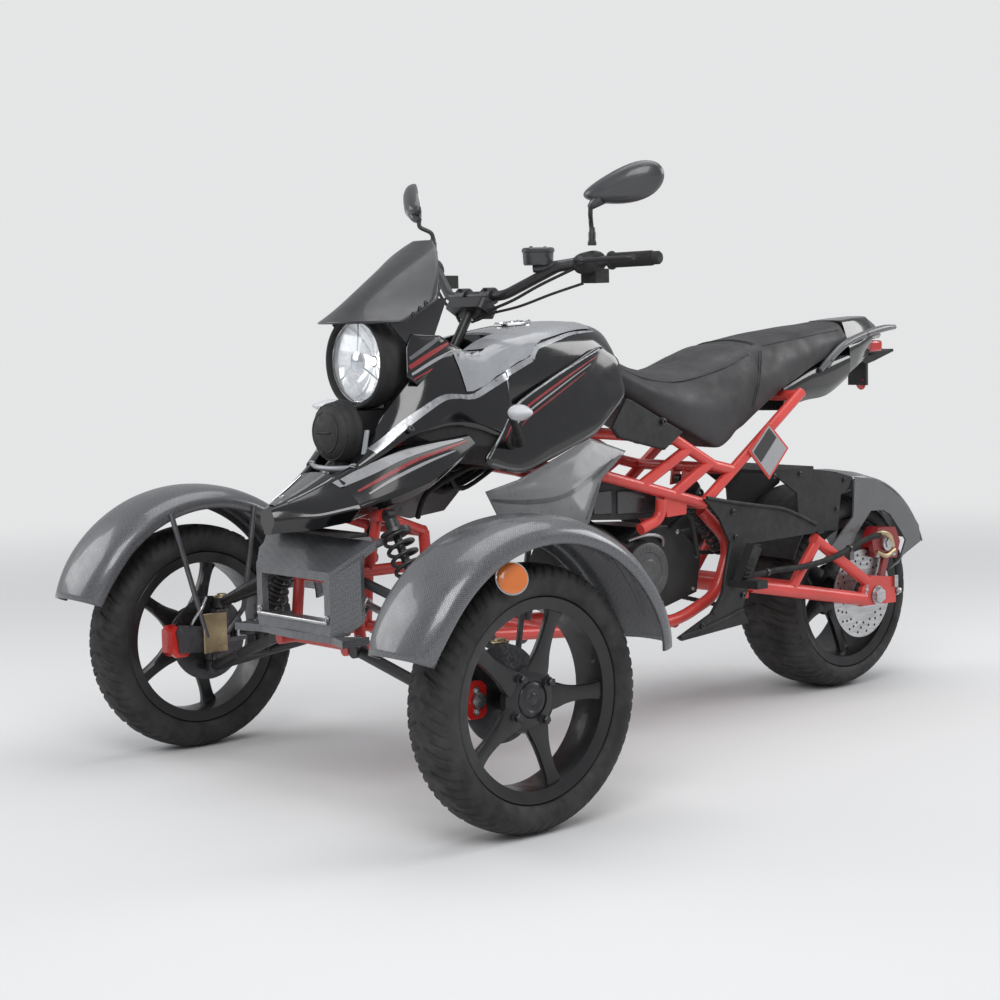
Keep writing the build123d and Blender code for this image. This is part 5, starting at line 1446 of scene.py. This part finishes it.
pot.lathe([(0, 0), (0, 30), (3, 32), (26, 33), (28, 35), (34, 35), (37, 32), (37, 0)], (158, -394, 1074),
          (0, 0, 1),
          40, False)
pot.pipe([(150, -400, 1068), (186, -378, 1070), (240, -344, 1076)], [10, 12, 14], 16, 4)
for dy in (-20, 20):
    pot.bolt((158, -394 + dy, 1111), (0, 0, 1), 3.4)
pot.piece("fluid_pot", SHELL_GREY, "steering", angle=35)
cables = Shape()
cables.pipe([INNER - SLOPE * 60 + Vector((0, -14, -10)), (172, -402, 1032), (118, -430, 1002),
             (70, -446, 984),
             (40, -456, 972), (22, -464, 962)], 3.4, 10, 8)
cables.pipe([INNER - SLOPE * 44 + Vector((0, -6, -42)), (196, -392, 1012), (130, -424, 988),
             (64, -446, 974),
             (36, -458, 962), (20, -467, 956)], 3.0, 10, 8)
cables.pipe([Vector((-232, -368, 1046)), (-172, -402, 1030), (-112, -430, 1000), (-60, -446, 978),
             (-36, -458, 966), (-20, -466, 958)], 3.4, 10, 8)
cables.piece("bar_cables", RUBBER, "steering")
clamps = Shape()
for x in (-42, 42):
    clamps.loft([[Vector((x + dx, -432.8 + r * cos(a), 1011.5 + r * sin(a))) for a in
                  [2 * pi * k / 24 for k in range(24)]] for dx,
                 r in ((-15, 16), (-13, 18.5), (13, 18.5), (15, 16))])
    for dy in (-13, 13):
        clamps.bolt((x, -432.8 + dy, 1026), (0, 0, 1), 4.2)
clamps.piece("bar_clamps", BLACK_SATIN, "steering")

# Springs, engine dressing and the small fittings of the frame

spring_unit("front_unit", (330, -808, 265.1), (150, -808, 572), 11, 32, 8.5, "front_shocks", True)
spring_unit("rear_unit", (0, 392, 345), (0, 197, 570), 9, 33, 9.5, "rear_shock", False)

CRANK = (0, -50, 380)
case = Shape()
for number in range(8):
    case.bolt(round_axle(CRANK, 126, 60, radians(22 + 45 * number)), (1, 0, 0), 3.6)
case.lathe([(0, 46), (3, 45), (3, 41), (0, 40)], (129.6, *CRANK[1:]), (1, 0, 0), 56)
case.lathe([(0, 25), (1.5, 24), (1.5, 16), (0, 15)], (135, *CRANK[1:]), (1, 0, 0), 48)
for y, z in ((-140, 310), (-60, 302), (30, 296), (138, 318), (150, 396), (86, 458), (-30, 468)):
    case.bolt((96, y, z), (1, 0, 0), 4.4)
case.pipe([(92, 40, 430), (108, 20, 452), (112, -30, 462), (104, -84, 452)], 5, 10, 6)
case.piece("engine_bolts", STEEL, "chassis")
drum = Shape()
drum.lathe([(0, 67), (3.4, 66), (5.6, 62), (5.6, 46), (3.2, 43.6), (3.2, 31), (6.4, 29), (8.4, 26),
            (8.4, 20), (7.2, 18),
            (7.2, 0)], (130.2, *CRANK[1:]), (1, 0, 0), 72, False)
for number in range(30):
    angle = 2 * pi * number / 30
    drum.pipe([round_axle(CRANK, 135.6, 48, angle), round_axle(CRANK, 135.6, 60, angle)], 1.1, 6, 1)
drum.piece("engine_drum", GREY_CAST, "chassis", angle=40)
plumbing = Shape()
plumbing.pipe([(60, -170, 500), (104, -150, 470), (112, -104, 440), (96, -60, 446)], 8, 12, 6)
plumbing.pipe([(30, -300, 560), (80, -240, 520), (118, -180, 480), (122, -120, 430), (110, -80, 300)], 5,
              10, 6)
plumbing.pipe([(96, 60, 470), (128, 82, 500), (132, 100, 470), (128, 120, 400)], 6, 10, 6)
plumbing.box((40, -250, 430), (100, -205, 486))
plumbing.lathe([(0, 0), (0, 26), (6, 28), (34, 28), (40, 24), (40, 0)], (60, -205, 470), (0.5, 0.2, 0.6),
               32, False)
plumbing.piece("engine_hoses", RUBBER, "chassis", angle=40, bevel=2)

window = Shape()
window.prism([(118.2, -206, 524), (118.2, -150, 520), (118.2, -150, 572), (118.2, -206, 574)], (3, 0, 0))
window.prism([(118.2, -132, 518), (118.2, -24, 514), (118.2, -24, 566), (118.2, -132, 570)], (3, 0, 0))
window.piece("airbox_windows", DARK_BAND, "chassis", bevel=2)

plate_face = Shape()
outline = [(330, 696), (394, 638), (331, 575), (267, 638)]
plate_face.prism([(167.2, y, z) for y, z in outline], (1.2, 0, 0))
plate_face.piece("frame_plate_face", PALE_PAINT, "chassis", bevel=0.5)
plate_band = Shape()
plate_band.prism([(168.6, 330, 690), (168.6, 356, 666), (168.6, 300, 610), (168.6, 274, 636)], (0.5, 0, 0))
plate_band.piece("frame_plate_band", BLACK_GLOSS, "chassis")

fixings = Shape()
for y, z in ((196, 500), (204, 440), (86, 243), (228, 300)):
    fixings.bolt((171.4, y, z), (1, 0, 0), 6)
fixings.bolt((176.8, -40, 724), (1, 0, 0), 7)
fixings.bolt((172.5, -530, 706), (1, 0, 0.12), 6)
fixings.bolt((178.0, -498, 690), (1, 0, 0.12), 5)
fixings.bolt((140.0, -738, 742), (1, -0.3, 0.5), 6)
for y, z in ((404, 568), (500, 568), (670, 540), (640, 470)):
    fixings.bolt((118.5, y, z), (1, 0, 0), 5)
fixings.mirror()
fixings.piece("panel_bolts", DARK_STEEL, "chassis")

peg = Shape()
for number in range(9):
    share = number / 8
    y = 196 + 40 * share
    z = 340 + 80 * share
    x = 206 - (z - 380) * 0.06
    peg.box((x, y - 14, z - 2.2), (x + 7, y + 14, z + 2.2))
for number in range(6):
    peg.box((222 + number * 7, 180, 343.6), (225 + number * 7, 212, 345.8))
peg.mirror()
peg.piece("peg_ribs", RUBBER, "chassis", bevel=0.8)

guard = Shape()
guard.pipe([(171, 108, 540), (172, 190, 524), (172, 300, 506), (172, 372, 494), (172, 430, 474),
            (172, 496, 446)],
           4.5, 10, 5)
guard.pipe([(171, 14, 226), (172, 90, 236), (172, 160, 250), (172, 226, 266)], 4.5, 10, 5)
guard.pipe([(171, 190, 430), (172, 166, 350), (172, 160, 310), (172, 124, 268)], 4, 10, 5)
guard.mirror()
guard.piece("cover_beads", PLASTIC, "chassis")

conduit = Shape()
route = smooth_rows([(182, 240, 345), (185, 330, 350), (187, 440, 350), (190.2, 540, 362),
                     (191.5, 640, 390),
                     (186, 700, 399), (176, 740, 398)], 40)
radii = [6.2 if i % 3 == 0 else 7.4 for i in range(len(route))]
conduit.pipe(route, radii, 12, 1)
conduit.piece("conduit", RUBBER, "chassis", ("rear_brake_hose",), angle=70)
ties = Shape()
for y, z, x in ((300, 348.6, 184), (600, 378, 191)):
    ties.lathe([(-4, 7.6), (-4, 9.4), (4, 9.4), (4, 7.6)], (x, y, z), (0, 1, 0.1), 24)
ties.piece("conduit_clips", BLACK_SATIN, "chassis")

grip_plate = Shape()
for way in (-1, 1):
    x = way * 180.5
    grip_plate.box((min(x, x + way * 5), 788, 262), (max(x, x + way * 5), 802, 292))
    grip_plate.lathe([(0, 0), (0, 7), (20, 7), (22, 5), (22, 0)], (way * 176, 800, 250), (0, 1, 0), 20,
                     False)
    grip_plate.lathe([(0, 0), (0, 11), (8, 11), (8, 0)], (way * 176, 802, 250), (0, 1, 0), 6, False)
    for k in range(4):
        grip_plate.bolt((way * 179.3, 676 + k * 3, 242 + k * 12), (way, 0, 0), 4)
    grip_plate.lathe([(0, 21), (3, 24), (3, 15.6), (0, 15.6)], (way * 179.3, 725, 248), (way, 0, 0), 36)
grip_plate.piece("axle_fittings", STEEL, "chassis", bevel=0.6)

brake = Shape()
for y, z in ((762, 346), (828, 344)):
    brake.bolt((150.4, y, z), (1, 0, 0), 6)
brake.lathe([(0, 0), (0, 19), (4, 20), (10, 19), (12, 16), (12, 0)], (150, 794, 372), (1, 0, 0), 36, False)
brake.lathe([(0, 0), (0, 14), (3, 14), (3, 0)], (163, 794, 372), (1, 0, 0), 6, False)
brake.piece("rear_brake_fittings", STEEL, "chassis")
arm = Shape()
arm.pipe([(160, 740, 398), (164, 764, 402), (164, 794, 390), (162, 812, 362)], [4, 6, 7, 5], 10, 5)
arm.pipe([(152, 758, 352), (156, 790, 340), (152, 830, 352)], [5, 6, 5], 10, 5)
arm.piece("rear_brake_lever", GOLD, "chassis")

for side_name, way in SIDES:
    pads = Shape()
    for z in (236, 276):
        pads.bolt((529, -910, z), (1, 0, 0), 5.5)
    pads.lathe([(0, 0), (0, 15), (3, 16), (8, 15), (8, 0)], (529, -906, 257), (1, 0, 0), 32, False)
    pads.pipe([(482, -884, 292), (470, -880, 310), (462, -868, 330), (470, -850, 352)], 4, 10, 6)
    pads.piece(f"caliper_fittings_{side_name}", STEEL, f"knuckle_{side_name}", flip=way < 0)
    hub = Shape()
    hub.box((464, -862, 226), (469, -800, 316))
    hub.lathe([(0, 0), (0, 18), (4, 18), (4, 11), (9, 11), (9, 0)], (478, -804, 347), (0.0, 0, 1), 24,
              False)
    hub.piece(f"knuckle_plate_{side_name}", GOLD, f"knuckle_{side_name}", flip=way < 0, bevel=1.5)

liner = Shape()
stations = [(-722, 130, 757, 124, 732), (-690, 141, 759, 134, 716), (-642, 152, 761, 150, 706),
            (-600, 160, 761, 160, 702), (-560, 167, 760, 168, 698), (-505, 171, 758, 172, 688)]
liner.loft(smooth_rings([[(a, y, b), (c, y, d), (c - 3, y, d), (a - 3, y, b)] for y, a, b, c,
                         d in stations], 4))
liner.loft(smooth_rings([[(c - 1, y, d + 2), (c - 50, y, d - 40), (c - 53, y, d - 40), (c - 4, y, d + 2)]
                         for y, a, b, c, d in stations], 4))
liner.mirror()
liner.piece("cowl_liner", PLASTIC, "chassis", angle=40)

wiring = Shape()
for number in range(7):
    shift = 14 * number
    wiring.pipe([(90 - shift * 2, -716, 600 + shift), (60 - shift, -650, 690 - shift),
                 (70 - shift * 1.5, -590, 640),
                 (40 - shift * 0.8, -520, 600 + shift * 0.7), (70 - shift * 1.6, -440, 650)],
                5 + number % 3, 10, 6)
wiring.pipe([(-104, -700, 560), (-70, -640, 610), (-96, -560, 640), (-60, -480, 650), (-80, -380, 640)], 7,
            10, 6)
wiring.pipe([(108, -700, 556), (78, -650, 600), (100, -580, 640), (70, -500, 648), (84, -380, 636)], 6, 10,
            6)
wiring.pipe([(60, -720, 620), (20, -660, 640), (50, -590, 600), (20, -520, 612)], 9, 12, 6)
wiring.box((-60, -640, 600), (40, -560, 650))
wiring.box((-30, -500, 690), (60, -420, 740))
wiring.piece("wiring", RUBBER, "chassis", bevel=2)

bumper_trim = Shape()
bumper_trim.pipe([(-121, -947, 364), (0, -948, 364), (121, -947, 364)], 4, 10, 2)
for way in (-1, 1):
    bumper_trim.bolt((way * 116, -946, 372), (0, -1, 0), 6)
    bumper_trim.bolt((way * 174, -912, 330), (way, 0, 0), 9)
bumper_trim.piece("bumper_fittings", STEEL, "chassis")
# A dark box paints the shade in the slot below the nose.
slot = Shape()
slot.box((-150, -905, 533), (150, -862, 541))
slot.piece("bumper_slot_shade", RUBBER, "chassis", bevel=2)


# Camera and light

CAMERA_AZIMUTH = radians(48.8)
CAMERA_ELEVATION = radians(5.18)
CAMERA_ROLL = radians(-1.2)
CAMERA_PLACE = (3320.9, -3285.2, 962.4)
FOCAL_PIXELS = 1999.47
IMAGE_PIXELS = 1000
SENSOR = 36.0
BACKGROUND = (0.78, 0.785, 0.79)
FLOOR_TONE = (0.74, 0.745, 0.75)


def add_camera():
    back = Vector((sin(CAMERA_AZIMUTH) * cos(CAMERA_ELEVATION),
                   -cos(CAMERA_AZIMUTH) * cos(CAMERA_ELEVATION), sin(CAMERA_ELEVATION)))
    right = Vector((cos(CAMERA_AZIMUTH), sin(CAMERA_AZIMUTH), 0))
    up = back.cross(right)
    rolled_right = right * cos(CAMERA_ROLL) + up * sin(CAMERA_ROLL)
    rolled_up = up * cos(CAMERA_ROLL) - right * sin(CAMERA_ROLL)
    data = bpy.data.cameras.new("camera")
    data.sensor_width = SENSOR
    data.lens = SENSOR * FOCAL_PIXELS / IMAGE_PIXELS
    data.clip_end = 60
    camera = bpy.data.objects.new("camera", data)
    bpy.context.scene.collection.objects.link(camera)
    matrix = Matrix((rolled_right, rolled_up, back)).transposed().to_4x4()
    matrix.translation = at(*CAMERA_PLACE)
    camera.matrix_world = matrix
    bpy.context.scene.camera = camera


def add_lamp(name, place, target, size, energy):
    data = bpy.data.lights.new(name, "AREA")
    data.shape = "RECTANGLE"
    data.size, data.size_y = size
    data.energy = energy
    lamp = bpy.data.objects.new(name, data)
    lamp.location = place
    lamp.rotation_euler = (Vector(target) - Vector(place)).to_track_quat("-Z", "Y").to_euler()
    bpy.context.scene.collection.objects.link(lamp)


def floor_surface():
    """Pale and lit near the object, fading into the background's tone far from it."""
    material = bpy.data.materials.new("floor_pale")
    material.use_nodes = True
    tree = material.node_tree
    shader = tree.nodes["Principled BSDF"]
    shader.inputs["Roughness"].default_value = 0.85
    noise = tree.nodes.new("ShaderNodeTexNoise")
    noise.inputs["Scale"].default_value = 3
    ramp = tree.nodes.new("ShaderNodeValToRGB")
    ramp.color_ramp.elements[0].color = (*scaled(FLOOR_TONE, 0.98), 1)
    ramp.color_ramp.elements[1].color = (*scaled(FLOOR_TONE, 1.02), 1)
    tree.links.new(noise.outputs["Fac"], ramp.inputs["Fac"])
    tree.links.new(ramp.outputs["Color"], shader.inputs["Base Color"])
    far = tree.nodes.new("ShaderNodeEmission")
    far.inputs["Color"].default_value = (*BACKGROUND, 1)
    place = tree.nodes.new("ShaderNodeTexCoord")
    length = tree.nodes.new("ShaderNodeVectorMath")
    length.operation = "LENGTH"
    tree.links.new(place.outputs["Object"], length.inputs[0])
    fade = tree.nodes.new("ShaderNodeMapRange")
    fade.interpolation_type = "SMOOTHSTEP"
    fade.inputs["From Min"].default_value = 1.5
    fade.inputs["From Max"].default_value = 6.0
    tree.links.new(length.outputs["Value"], fade.inputs["Value"])
    mix = tree.nodes.new("ShaderNodeMixShader")
    tree.links.new(fade.outputs["Result"], mix.inputs["Fac"])
    tree.links.new(shader.outputs["BSDF"], mix.inputs[1])
    tree.links.new(far.outputs["Emission"], mix.inputs[2])
    tree.links.new(mix.outputs["Shader"], tree.nodes["Material Output"].inputs["Surface"])
    return material


def add_floor():
    mesh = bpy.data.meshes.new("floor")
    reach = 40
    mesh.from_pydata([(-reach, -reach, 0), (reach, -reach, 0), (reach, reach, 0), (-reach, reach, 0)], [],
                     [(0, 1, 2, 3)])
    floor = bpy.data.objects.new("floor", mesh)
    mesh.materials.append(floor_surface())
    bpy.context.scene.collection.objects.link(floor)


def add_world():
    world = bpy.data.worlds.new("world")
    bpy.context.scene.world = world
    world.use_nodes = True
    tree = world.node_tree
    back = tree.nodes["Background"]
    back.inputs["Color"].default_value = (0.72, 0.73, 0.75, 1)
    back.inputs["Strength"].default_value = 0.55
    shown = tree.nodes.new("ShaderNodeBackground")
    shown.inputs["Color"].default_value = (*BACKGROUND, 1)
    shown.inputs["Strength"].default_value = 1.0
    path = tree.nodes.new("ShaderNodeLightPath")
    mix = tree.nodes.new("ShaderNodeMixShader")
    tree.links.new(path.outputs["Is Camera Ray"], mix.inputs["Fac"])
    tree.links.new(back.outputs["Background"], mix.inputs[1])
    tree.links.new(shown.outputs["Background"], mix.inputs[2])
    tree.links.new(mix.outputs["Shader"], tree.nodes["World Output"].inputs["Surface"])


add_camera()
add_floor()
add_world()
add_lamp("key", (2.6, -2.8, 3.4), (0, 0, 0.5), (2.4, 2.4), 90)
add_lamp("fill", (-2.8, -2.6, 2.2), (0, 0, 0.5), (2.6, 2.0), 40)
add_lamp("top", (0, 0.4, 3.8), (0, 0, 0.4), (3.2, 3.2), 60)
add_lamp("rear", (1.8, 3.2, 2.4), (0, 0.2, 0.5), (2.2, 1.6), 50)
bpy.context.scene.view_settings.view_transform = "Standard"
